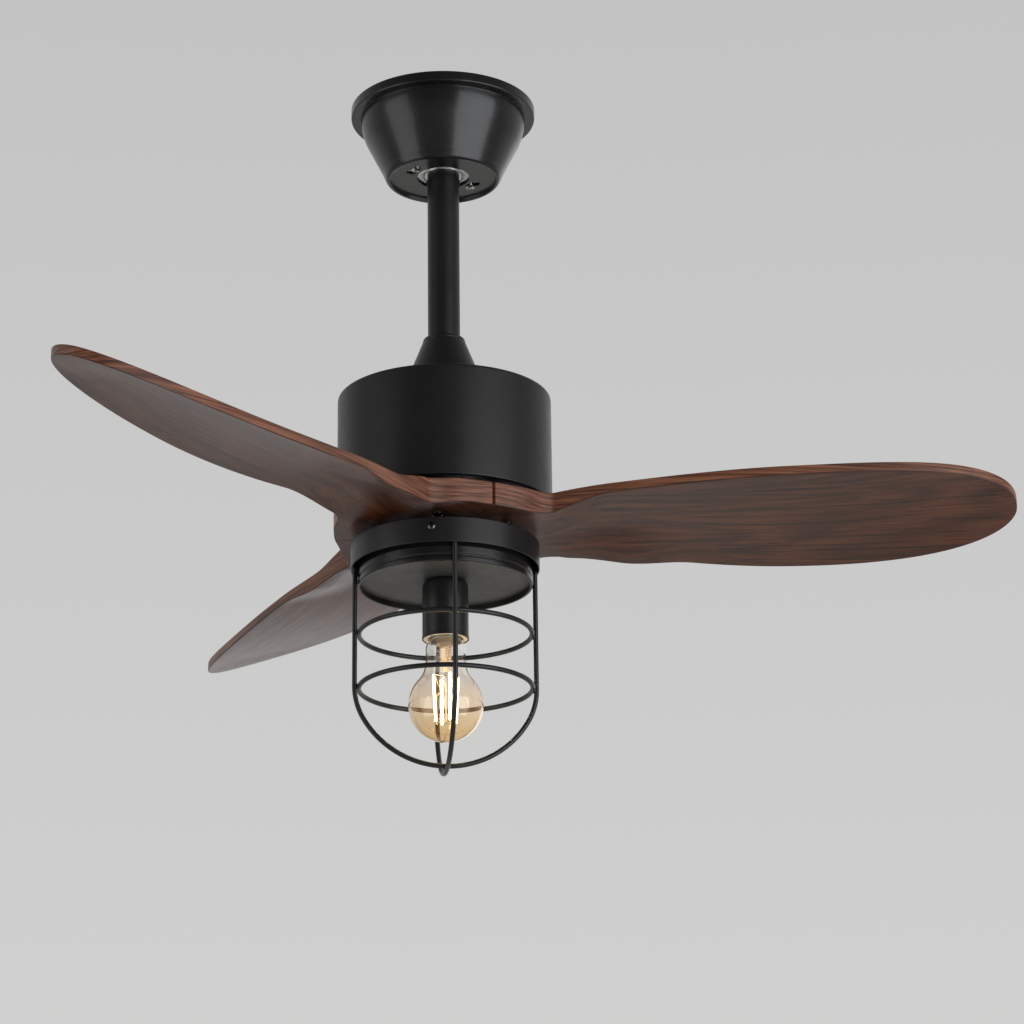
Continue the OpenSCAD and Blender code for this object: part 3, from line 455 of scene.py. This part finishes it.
def lathe(name, outline, segments=SEGMENTS):
    """Mesh of a closed outline, in millimetres, turned about the Z axis."""
    build = bmesh.new()
    rings = []
    for k in range(segments):
        turn = 2 * math.pi * k / segments
        rings.append([
            build.verts.new((p.x * MM * math.cos(turn), p.x * MM * math.sin(turn), p.y * MM)) for p in outline
        ])
    for k, ring in enumerate(rings):
        after = rings[(k + 1) % segments]
        for i in range(len(outline)):
            j = (i + 1) % len(outline)
            build.faces.new((ring[i], after[i], after[j], ring[j]))
    return finish_mesh(name, build)


# Round shells -------------------------------------------------------------------------------------


def prism(build, outline, low, high):
    """Adds an upright prism of a closed outline, in millimetres."""
    floor = [build.verts.new((x * MM, y * MM, low * MM)) for x, y in outline]
    roof = [build.verts.new((x * MM, y * MM, high * MM)) for x, y in outline]
    build.faces.new(floor)
    build.faces.new(roof)
    for i in range(len(outline)):
        j = (i + 1) % len(outline)
        build.faces.new((floor[i], floor[j], roof[j], roof[i]))


def carved(name, mesh, cutter):
    """The mesh with the cutter taken away from it."""
    body = bpy.data.objects.new("carved", mesh)
    tool = bpy.data.objects.new("tool", finish_mesh("tool", cutter))
    for obj in (body, tool):
        bpy.context.scene.collection.objects.link(obj)
    modifier = body.modifiers.new("cut", "BOOLEAN")
    modifier.object = tool
    modifier.solver = "EXACT"
    shape = body.evaluated_get(bpy.context.evaluated_depsgraph_get())
    build = bmesh.new()
    build.from_mesh(shape.to_mesh())
    for obj in (body, tool):
        bpy.data.objects.remove(obj)
    return finish_mesh(name, build, 35)


def keyhole(azimuth, ring=29.0, entry=4.3, half=2.0, turn=14):
    """Outline of a keyhole: a round entry, and a slot that runs on round the ring from it."""
    start, run = math.radians(azimuth - turn), ring * math.radians(turn)
    open_angle = math.asin(half / entry)
    bow = [mix(open_angle, 2 * math.pi - open_angle, i / 20) for i in range(21)]
    points = [(entry * math.cos(a), entry * math.sin(a)) for a in bow]
    cap = [mix(-math.pi / 2, math.pi / 2, i / 10) for i in range(11)]
    points += [(run + half * math.cos(a), half * math.sin(a)) for a in cap]
    return [
        ((ring + across) * math.cos(start + along / ring), (ring + across) * math.sin(start + along / ring))
        for along, across in points
    ]


def canopy_shell():
    """Spun canopy: turned lip, round shoulder, cone, and a recessed face with two keyholes."""
    lip, hole, face, wall = 77.5, 22, -61.5, 1.2
    shoulder = curve((69.6, -9.5), (68.6, -22), (62.3, -33))
    heel = curve((50.3, -57.5), (48.2, -64.5), (45.5, -64.5), 10)
    inner_heel = curve((45.5, -63.3), (47.5, -63.3), (49.1, -57.1), 8)
    inner_shoulder = curve((61.1, -32.5), (67.4, -21.7), (68.4, -9.5))
    outline = rounded(
        [(lip, 0, 0.9), (lip, -8.5, 1.4), (69.7, -8.9, 0.5)] + shoulder + heel
        + [(44.5, -64.1, 0.3), (43.9, face, 0.4), (hole, face, 0.2), (hole, face + wall, 0.2)]
        + [(45.1, face + wall, 0.2)] + inner_heel + inner_shoulder
        + [(68.4, -7.3, 0.3), (lip - wall, -7.3, 0.4), (lip - wall, 0, 0.2)]
    )
    cutter = bmesh.new()
    for azimuth in (38, 218):
        prism(cutter, keyhole(azimuth), face - 1, face + wall + 1)
    mesh = carved("canopy_shell", lathe("canopy_shell", outline, 256), cutter)
    keep_flats_flat(piece("canopy_shell", mesh, "ceiling_mount", "gloss_black", "canopy"))


def turned_shell(name, corners, body, node, steps=5, paint=None):
    """A turned or spun shell of black steel that stands for one CAD node."""
    shell = piece(name, lathe(name, rounded(corners, steps)), body, "satin_black", node, materials=paint)
    keep_flats_flat(shell)


def motor_can():
    """Drawn steel can with a tight top corner, open below, its rim turned in."""
    r, top, end, wall, hole, rim = 87.5, -262.5, -356.0, 1.2, 8.8, 3.0
    turned_shell("motor_can", [
        (hole, top, 0.3), (r, top, 2.4), (r, end, 0.8), (r - wall - rim, end, 0.4),
        (r - wall - rim, end + wall, 0.4), (r - wall, end + wall, 0.4), (r - wall, top - wall, 1.2),
        (hole, top - wall, 0.3),
    ], "hanger", "motor_housing", 8)


def cover_cone():
    """Cone over the coupling with a short rounded collar at its neck."""
    top, neck, brim = -208.5, -211.3, -262.1
    turned_shell("cover_cone", [
        (13.65, top, 0.3), (16.9, top, 1.1), (17.7, neck + 0.6, 0.6), (17.6, neck, 0.3), (37.8, brim, 0.5),
        (36.6, brim, 0.3), (16.3, neck, 0.3), (13.65, neck, 0.3),
    ], "cover", "coupling_cover")


def light_rings():
    """Outer ring, and inside it the pan with its two swaged beads."""
    ring, ring_top, ring_end, wall = 76.4, -388, -408.5, 1.2
    turned_shell("ring_band", [
        (ring, ring_top, 0.5), (ring, ring_end, 0.55), (ring - wall, ring_end, 0.4),
        (ring - wall, ring_top, 0.4),
    ], "hanger", "light_ring")
    pan, inner, pan_top, pan_end = 70, 68.6, -391, -422.5
    turned_shell("pan_band", [
        (pan, pan_top, 0.4), (pan, -409.4, 0.6), (70.8, -410.3, 0.5), (70.8, -416.1, 0.5),
        (pan, -416.9, 0.4), (pan, -418.1, 0.4), (70.9, -418.9, 0.5), (70.9, -421.9, 0.5),
        (70.2, pan_end, 0.3), (inner, pan_end, 0.4), (inner, pan_top, 0.4),
    ], "hanger", "light_pan", paint=[shiny_black()])


def cup_shell():
    """Lamp cup with a round shoulder and a slightly rolled rim."""
    top, end, r, hole, wall, flare = -417.7, -466.7, 18.6, 5.05, 0.8, 0.3
    turned_shell("cup_shell", [
        (hole, top, 0.2), (r, top, 6.0), (r, end + 2.4, 0.5), (r + flare, end + 2.0, 0.3),
        (r + flare, end, 0.3), (r - wall, end, 0.3), (r - wall, top - wall, 5.2), (hole, top - wall, 0.2),
    ], "hanger", "lamp_cup", 8)


# Blades -------------------------------------------------------------------------------------------

BLADE_AZIMUTH = -4.5
BLADE_TIP = 461
TIP_POWER = 5.6
HUB_RADIUS = 90
HUB_END = -380
HUB_THICKNESS = 19
ROOT_START, ROOT_FLAT, ROOT_BLEND = 26, 68, 72
PADDLE_THICKNESS = 8
PADDLE_MIDDLE_Z = -379.4
PITCH_ROOT, PITCH_TIP = 8, 20
WAIST, BULGE_LENGTH = 120, 155
LEAD_WAIST, LEAD_GAIN = 52.3, 24
TRAIL_WAIST, TRAIL_GAIN = 50, 13.5
FILLET, FILLET_START, FILLET_RISE, FILLET_FALL = 10, 46, 26, 70
SAG, SAG_MIDDLE, SAG_HALF_LENGTH = 7, 280, 165
HOLLOW, HOLLOW_END, HOLLOW_FADE = 3, 400, 55
SEAM_GAP = 0.2
INSET = 0.17


def smooth(t):
    t = max(0.0, min(1.0, t))
    return t * t * (3 - 2 * t)


def soft_max(a, b, k):
    return (a + b) / 2 + math.hypot((a - b) / 2, k)


def edge_v(u, waist, gain):
    """Half width at u: the radial seam, then the hub's rim blended into the paddle."""
    fillet = FILLET * smooth((u - FILLET_START) / FILLET_RISE) * (1 - smooth((u - HUB_RADIUS) / FILLET_FALL))
    seam = u * math.tan(math.radians(60)) - SEAM_GAP
    rim = math.sqrt(max(0.0, HUB_RADIUS**2 - u * u))
    paddle = waist + gain * (1 - (1 - min(1.0, (u - WAIST) / BULGE_LENGTH)) ** 2)
    paddle *= math.sqrt(max(0.0, 1 - (u / BLADE_TIP) ** TIP_POWER))
    return min(seam, soft_max(rim, paddle, fillet)) - INSET


def leading_v(u):
    return edge_v(u, LEAD_WAIST, LEAD_GAIN)


def trailing_v(u):
    return edge_v(u, TRAIL_WAIST, TRAIL_GAIN)


def root_blend(u):
    return smooth((u - ROOT_FLAT) / ROOT_BLEND)


def root_drop(u, v):
    """How far the root hangs lower on its trailing side."""
    drop, start, rise, reach, fade_start, fade = 7, 60, 40, 50, 140, 60
    return drop * smooth((u - start) / rise) * smooth(v / reach) * (1 - smooth((u - fade_start) / fade))


def under_z(u, v):
    """Height of the underside: flat at the hub, then pitched, sagging and hollow along the paddle."""
    pitch = math.radians(mix(PITCH_ROOT, PITCH_TIP, (u - WAIST) / (BLADE_TIP - WAIST)))
    lead, trail = leading_v(u) + INSET, trailing_v(u) + INSET
    across = (2 * v + lead - trail) / (lead + trail)
    hollow = HOLLOW * (1 - across**2) * (1 - smooth((u - HOLLOW_END) / HOLLOW_FADE))
    camber = PADDLE_MIDDLE_Z + SAG * ((u - SAG_MIDDLE) / SAG_HALF_LENGTH) ** 2 + hollow
    return mix(HUB_END, camber - math.tan(pitch) * v, root_blend(u)) - root_drop(u, v)


def blade_thickness(u, v):
    """The root's drop is mostly extra thickness, so the top side hardly follows it."""
    drop_share = 0.75
    return mix(HUB_THICKNESS, PADDLE_THICKNESS, root_blend(u)) + drop_share * root_drop(u, v)


def blade_stations():
    """Distances along the blade, closer together where the outline bends."""
    root = [ROOT_START + INSET + 2 * i for i in range(63)]
    paddle = [154 + 5 * i for i in range(45)]
    tip = [mix(378, BLADE_TIP - INSET, math.sin(math.pi / 2 * i / 44)) for i in range(45)]
    return root + paddle + tip


FACE, EDGE, LINE = 0, 1, 2


def blade_section(u, across=26, corner=1.0, steps=4):
    """Points round the blade at u, each with the kind of the face that follows it."""
    a, b = -leading_v(u), trailing_v(u)
    r = min(corner, (b - a) * 0.3)

    def low(v):
        return under_z(u, v)

    def top(v):
        return under_z(u, v) + blade_thickness(u, v)

    turns = [math.pi / 2 * k / steps for k in range(steps + 1)]
    arc = [(r * math.sin(turn), r - r * math.cos(turn)) for turn in turns]
    points = [(v, low(v), FACE) for v in (mix(a + r, b - r, i / across) for i in range(across))]
    points += [(b - r + out, low(b - r + out) + up, LINE) for out, up in arc[:-1]]
    points += [(b, low(b) + r, EDGE)]
    points += [(b - up, top(b - up) - r + out, EDGE) for out, up in arc[:-1]]
    points += [(v, top(v), FACE) for v in (mix(b - r, a + r, i / across) for i in range(across))]
    points += [(a + r - out, top(a + r - out) - up, EDGE) for out, up in arc[:-1]]
    points += [(a, top(a) - r, EDGE)]
    points += [(a + up, low(a + up) + r - out, LINE) for out, up in arc[:-1]]
    return [((u, v, z), kind) for v, z, kind in points]


def blade_mesh(name, azimuth):
    build = bmesh.new()
    turn = Matrix.Rotation(math.radians(azimuth), 4, "Z")
    sections = [blade_section(u) for u in blade_stations()]
    rings = [[build.verts.new(turn @ Vector(point) * MM) for point, _ in section] for section in sections]
    kinds = [kind for _, kind in sections[0]]
    for ring, after in zip(rings, rings[1:]):
        for i, kind in enumerate(kinds):
            j = (i + 1) % len(kinds)
            face = build.faces.new((ring[i], after[i], after[j], ring[j]))
            face.material_index = kind
    for ring in (rings[0], rings[-1]):
        build.faces.new(ring).material_index = EDGE
    return finish_mesh(name, build, 50)


def blades():
    for index in range(3):
        azimuth, shift = BLADE_AZIMUTH + 120 * index, 1.7 * index
        name = f"walnut_blade_{index + 1}"
        dark_line = walnut_edge(azimuth, shift, -0.2, 0.25)
        woods = [walnut_face(azimuth, shift), walnut_edge(azimuth, shift), dark_line]
        mesh = blade_mesh(name, azimuth)
        keep_flats_flat(piece(name, mesh, "rotor", "walnut", f"blade_{index + 1}", materials=woods))


# Cage ---------------------------------------------------------------------------------------------

CAGE_TURN = math.radians(6)
WIRE = 1.99
CAGE_RING = 69.4
RING_LEVELS = {"upper": -462.4, "lower": -507.3}
FRONT_ARCH_DROP = 3.9


def wire_along(build, path, radius, normal, closed=False, sides=20):
    """Adds a round wire along a path, in millimetres, that lies in the plane with the given normal."""
    count = len(path)
    turns = [2 * math.pi * k / sides for k in range(sides)]
    rings = []
    for i, here in enumerate(path):
        back = path[i - 1] if closed or i else here
        ahead = path[(i + 1) % count] if closed or i < count - 1 else here
        across = normal.cross((ahead - back).normalized())
        ring = [here + (normal * math.cos(t) + across * math.sin(t)) * radius for t in turns]
        rings.append([build.verts.new(point * MM) for point in ring])
    for i in range(count if closed else count - 1):
        ring, after = rings[i], rings[(i + 1) % count]
        for k in range(sides):
            build.faces.new((ring[k], after[k], after[(k + 1) % sides], ring[(k + 1) % sides]))
    if not closed:
        build.faces.new(rings[0])
        build.faces.new(rings[-1])


def arch_path(drop, turn):
    """Centre line of an arch: two straight bars, round corners and a flatter crown."""
    bar, top, spring, rise, corner, steps = 73.0, -406.0, -507.0 - drop, 64.0, 52.0, 24
    near = bar - corner
    crown = (near**2 + rise**2 - corner**2) / (2 * (rise - corner))
    bend = math.atan2(crown - rise, near)
    half = [(bar, top)]
    for i in range(steps + 1):
        angle = bend * i / steps
        half.append((near + corner * math.cos(angle), spring - corner * math.sin(angle)))
    for i in range(1, steps + 1):
        angle = mix(bend, math.pi / 2, i / steps)
        half.append((crown * math.cos(angle), spring - rise + crown - crown * math.sin(angle)))
    flat = half + [(-x, z) for x, z in reversed(half[:-1])]
    return [Vector((x * math.cos(turn), x * math.sin(turn), z)) for x, z in flat]


def wire_piece(name, build, *nodes):
    piece(name, finish_mesh(name, build, 60), "hanger", "satin_black", *nodes)


def cage():
    """Two crossing arches, two rings and the welds between them."""
    arches = (("side", 0.0, CAGE_TURN), ("front", FRONT_ARCH_DROP, CAGE_TURN + math.pi / 2))
    for name, drop, turn in arches:
        build = bmesh.new()
        wire_along(build, arch_path(drop, turn), WIRE, Vector((-math.sin(turn), math.cos(turn), 0)))
        wire_piece(f"arch_wire_{name}", build, f"cage_arch_{name}")
    turns = [2 * math.pi * i / SEGMENTS for i in range(SEGMENTS)]
    for name, level in RING_LEVELS.items():
        build = bmesh.new()
        path = [Vector((CAGE_RING * math.cos(t), CAGE_RING * math.sin(t), level)) for t in turns]
        wire_along(build, path, WIRE, Vector((0, 0, 1)), closed=True)
        wire_piece(f"ring_wire_{name}", build, f"cage_ring_{name}")
    weld_beads()


def weld_beads():
    """Small soft beads of weld where the rings cross the bars, and where the arches cross."""
    build = bmesh.new()
    reach, crossing_z = 71.2, -572.9
    bead, crossing_bead = Matrix.Diagonal((1.9, 2.7, 2.6, 1)), Matrix.Diagonal((2.6, 2.6, 1.7, 1))
    places = [Matrix.Translation((0, 0, crossing_z)) @ crossing_bead]
    for level in RING_LEVELS.values():
        for quarter in range(4):
            turn = Matrix.Rotation(CAGE_TURN + quarter * math.pi / 2, 4, "Z")
            places.append(turn @ Matrix.Translation((reach, 0, level)) @ bead)
    for place in places:
        matrix = Matrix.Scale(MM, 4) @ place
        bmesh.ops.create_uvsphere(build, u_segments=20, v_segments=12, radius=1.0, matrix=matrix)
    wire_piece("cage_welds", build)


# Bulb ---------------------------------------------------------------------------------------------


CAP_END = -468.0
STEM_TIP = -494.0


def glass_outline(inset):
    """Profile of the bulb's glass from the cap to its lowest point, moved in by the inset."""
    mouth, neck, middle = 12.0 - inset, 16.1 - inset, -521.0
    r, join = 30.0 - inset, math.radians(42)
    end = (r * math.cos(join), middle + r * math.sin(join))
    lean = (end[0] - neck - 0.2) / math.sin(join)
    points = [(mouth, CAP_END + 6, 0), (mouth, CAP_END, 0)]
    points += curve((mouth + 0.4, CAP_END - 0.8), (neck, CAP_END - 1.8), (neck, CAP_END - 7), 8)
    handle = (end[0] - lean * math.sin(join), end[1] + lean * math.cos(join))
    points += curve((neck, CAP_END - 15), handle, end, 14)[:-1]
    turns = [mix(join, -math.pi / 2, i / 48) for i in range(49)]
    return points + [(max(r * math.cos(a), 0.02), middle + r * math.sin(a), 0) for a in turns]


def clear_to_light(obj):
    """Lets the filaments' light through the glass without a shadow."""
    obj.visible_shadow = False
    obj.visible_diffuse = False


def bulb_envelope():
    """Hollow glass, its inner skin one wall inside the outer."""
    wall = 0.8
    mesh = lathe("bulb_envelope", rounded(glass_outline(0.0) + glass_outline(wall)[::-1]), 128)
    clear_to_light(piece("bulb_envelope", mesh, "bulb", "amber_glass", "bulb_glass"))


def bulb_stem():
    """Pressed glass stem: wide foot, waist and a fine tip."""
    foot, column, tip, middle, top = 7.0, 5.0, 3.0, 0.02, CAP_END + 5
    profile = [
        (foot, top, 0.4), (foot, CAP_END - 3, 1.5), (column, CAP_END - 4.5, 2.0),
        (column - 0.2, CAP_END - 14, 2.0), (tip, CAP_END - 17, 2.0), (tip - 0.2, STEM_TIP + 1, 1.2),
        (middle, STEM_TIP, 0), (middle, top, 0),
    ]
    mesh = lathe("stem_glass", rounded(profile), 48)
    clear_to_light(piece("stem_glass", mesh, "bulb", "clear_glass", "bulb_stem", materials=[lit_stem()]))


def rod_between(build, start, end, radius, sides=14):
    """Adds a straight round rod between two points in millimetres."""
    run = (end - start).normalized()
    side = run.orthogonal().normalized()
    rings = []
    for reach, width in ((0.0, 0.55), (0.35, 1.0), (1.0, 1.0)):
        rings.append((start + run * radius * reach, width))
    for reach, width in ((1.0, 1.0), (0.35, 1.0), (0.0, 0.55)):
        rings.append((end - run * radius * reach, width))
    made = []
    for middle, width in rings:
        ring = []
        for k in range(sides):
            turn = 2 * math.pi * k / sides
            arm = Matrix.Rotation(turn, 4, run) @ side
            ring.append(build.verts.new((middle + arm * radius * width) * MM))
        made.append(ring)
    for ring, after in zip(made, made[1:]):
        for k in range(sides):
            build.faces.new((ring[k], after[k], after[(k + 1) % sides], ring[(k + 1) % sides]))
    build.faces.new(made[0])
    build.faces.new(made[-1])


def filament_ends():
    """Top and bottom of each of the four filaments, which lean in a little as they go down."""
    top_reach, top_z, end_reach, end_z, azimuth = 10.5, -497.0, 8.5, -535.0, 20
    for i in range(4):
        turn = math.radians(azimuth + 90 * i)
        out = Vector((math.cos(turn), math.sin(turn), 0))
        yield out * top_reach + Vector((0, 0, top_z)), out * end_reach + Vector((0, 0, end_z))


def bulb_filaments():
    build = bmesh.new()
    radius = 1.0
    for top, end in filament_ends():
        rod_between(build, top, end, radius)
    piece("led_filaments", finish_mesh("led_filaments", build), "bulb", "filament", "bulb_filaments")


def bulb_supports():
    """Fine support wires: one down the middle, and one out to each end of each filament."""
    build = bmesh.new()
    spine, arm, sides = 0.38, 0.36, 10
    upper, lower = Vector((0, 0, -496.45)), Vector((0, 0, -535.55))
    rod_between(build, Vector((0, 0, STEM_TIP - 0.1)), lower, spine, sides)
    for top, end in filament_ends():
        rod_between(build, upper, Vector((top.x, top.y, upper.z)), arm, sides)
        rod_between(build, lower, Vector((end.x, end.y, lower.z)), arm, sides)
    piece("support_wires", finish_mesh("support_wires", build), "bulb", "steel", "bulb_wires")


# Stage, light and camera --------------------------------------------------------------------------


FLOOR_Z = -4.8
DIM_ROOM = 0.10
BRIGHT_WALL = 0.5
WINDOW_GAIN = 0.6
WINDOW_WAY = (0.3, 0.954)


def pale_floor():
    """Wide pale floor well below the fan."""
    build = bmesh.new()
    place = Matrix.Translation((0, 0, FLOOR_Z))
    bmesh.ops.create_grid(build, x_segments=8, y_segments=8, size=30.0, matrix=place)
    mesh = finish_mesh("floor", build)
    material, tree, shader = new_material("pale_floor")
    clouds = noise(tree, local_coords(tree), 3.0, 4.0)
    colour = ramp(tree, clouds, [(0.3, (0.765, 0.765, 0.755)), (0.7, (0.785, 0.785, 0.775))])
    tree.links.new(colour, shader.inputs["Base Color"])
    tree.links.new(remap(tree, clouds, 0.3, 0.7, 0.6, 0.75), shader.inputs["Roughness"])
    mesh.materials.append(material)
    floor = bpy.data.objects.new("floor", mesh)
    bpy.context.scene.collection.objects.link(floor)


def soft_world():
    """Pale room, plain to the camera. As light: a dim room before the fan, a bright wall behind it."""
    world = bpy.data.worlds.new("studio")
    bpy.context.scene.world = world
    world.use_nodes = True
    tree = world.node_tree
    way = add(tree, "ShaderNodeSeparateXYZ", {"Vector": add(tree, "ShaderNodeTexCoord").outputs["Generated"]})
    wall = remap(tree, way.outputs["Y"], -0.35, 0.7, DIM_ROOM, BRIGHT_WALL)
    window = maths(
        tree, "ADD", maths(tree, "MULTIPLY", way.outputs["X"], WINDOW_WAY[0]),
        maths(tree, "MULTIPLY", way.outputs["Y"], WINDOW_WAY[1]),
    )
    wall = maths(tree, "ADD", wall, remap(tree, window, 0.90, 0.99, 0.0, WINDOW_GAIN))
    paint = ramp(tree, remap(tree, way.outputs["Z"], 0.12, 0.46, 0.0, 1.0), [
        (0.0, (0.645, 0.645, 0.64)), (1.0, (0.545, 0.55, 0.545)),
    ])
    background = tree.nodes["Background"]
    sight = add(tree, "ShaderNodeLightPath").outputs["Is Camera Ray"]
    chosen = add(tree, "ShaderNodeMixRGB", {"Fac": sight, "Color1": wall, "Color2": paint})
    tree.links.new(chosen.outputs["Color"], background.inputs["Color"])
    background.inputs["Strength"].default_value = 1.0


def softbox(name, place, target, size, power, colour):
    """Rectangular area light, in watts, that faces the target."""
    light = bpy.data.lights.new(name, "AREA")
    light.shape = "RECTANGLE"
    light.size, light.size_y = size
    light.energy = power
    light.color = colour
    obj = bpy.data.objects.new(name, light)
    bpy.context.scene.collection.objects.link(obj)
    obj.location = place
    obj.rotation_euler = (Vector(target) - Vector(place)).to_track_quat("-Z", "Y").to_euler()
    return obj


def studio_lights():
    """A large cool key on the right, a weaker fill on the left, and a wash on the floor behind."""
    fan = (0, 0, -0.35)
    softbox("key_right", (2.1, -1.9, -0.9), fan, (3.0, 3.0), 66, (0.95, 0.97, 1.0))
    softbox("fill_left", (-2.65, -1.2, -0.9), fan, (2.0, 3.0), 22, (1.0, 0.99, 0.97))
    wash = softbox("floor_wash", (0, 5.8, 1.4), (0, 6.6, FLOOR_Z), (4.0, 3.0), 270, (1.0, 0.97, 0.93))
    wash.visible_glossy = False
    wash.visible_transmission = False


def photo_camera():
    """Long lens from below, turned a little right so that the fan sits left of centre."""
    place, yaw, tilt, roll = (0, -2.4873, -1.2049), -0.0219, 0.32783, -0.01219
    camera = bpy.data.cameras.new("camera")
    camera.sensor_width = 36.0
    camera.lens = 113.68
    obj = bpy.data.objects.new("camera", camera)
    bpy.context.scene.collection.objects.link(obj)
    turned = Matrix.Rotation(yaw, 4, "Z") @ Matrix.Rotation(math.pi / 2 + tilt, 4, "X")
    obj.matrix_world = Matrix.Translation(place) @ turned @ Matrix.Rotation(roll, 4, "Z")
    bpy.context.scene.camera = obj


paint_cad_nodes()
canopy_shell()
motor_can()
cover_cone()
light_rings()
cup_shell()
blades()
cage()
bulb_envelope()
bulb_stem()
bulb_filaments()
bulb_supports()
pale_floor()
soft_world()
studio_lights()
photo_camera()
bpy.context.scene.view_settings.view_transform = "Standard"
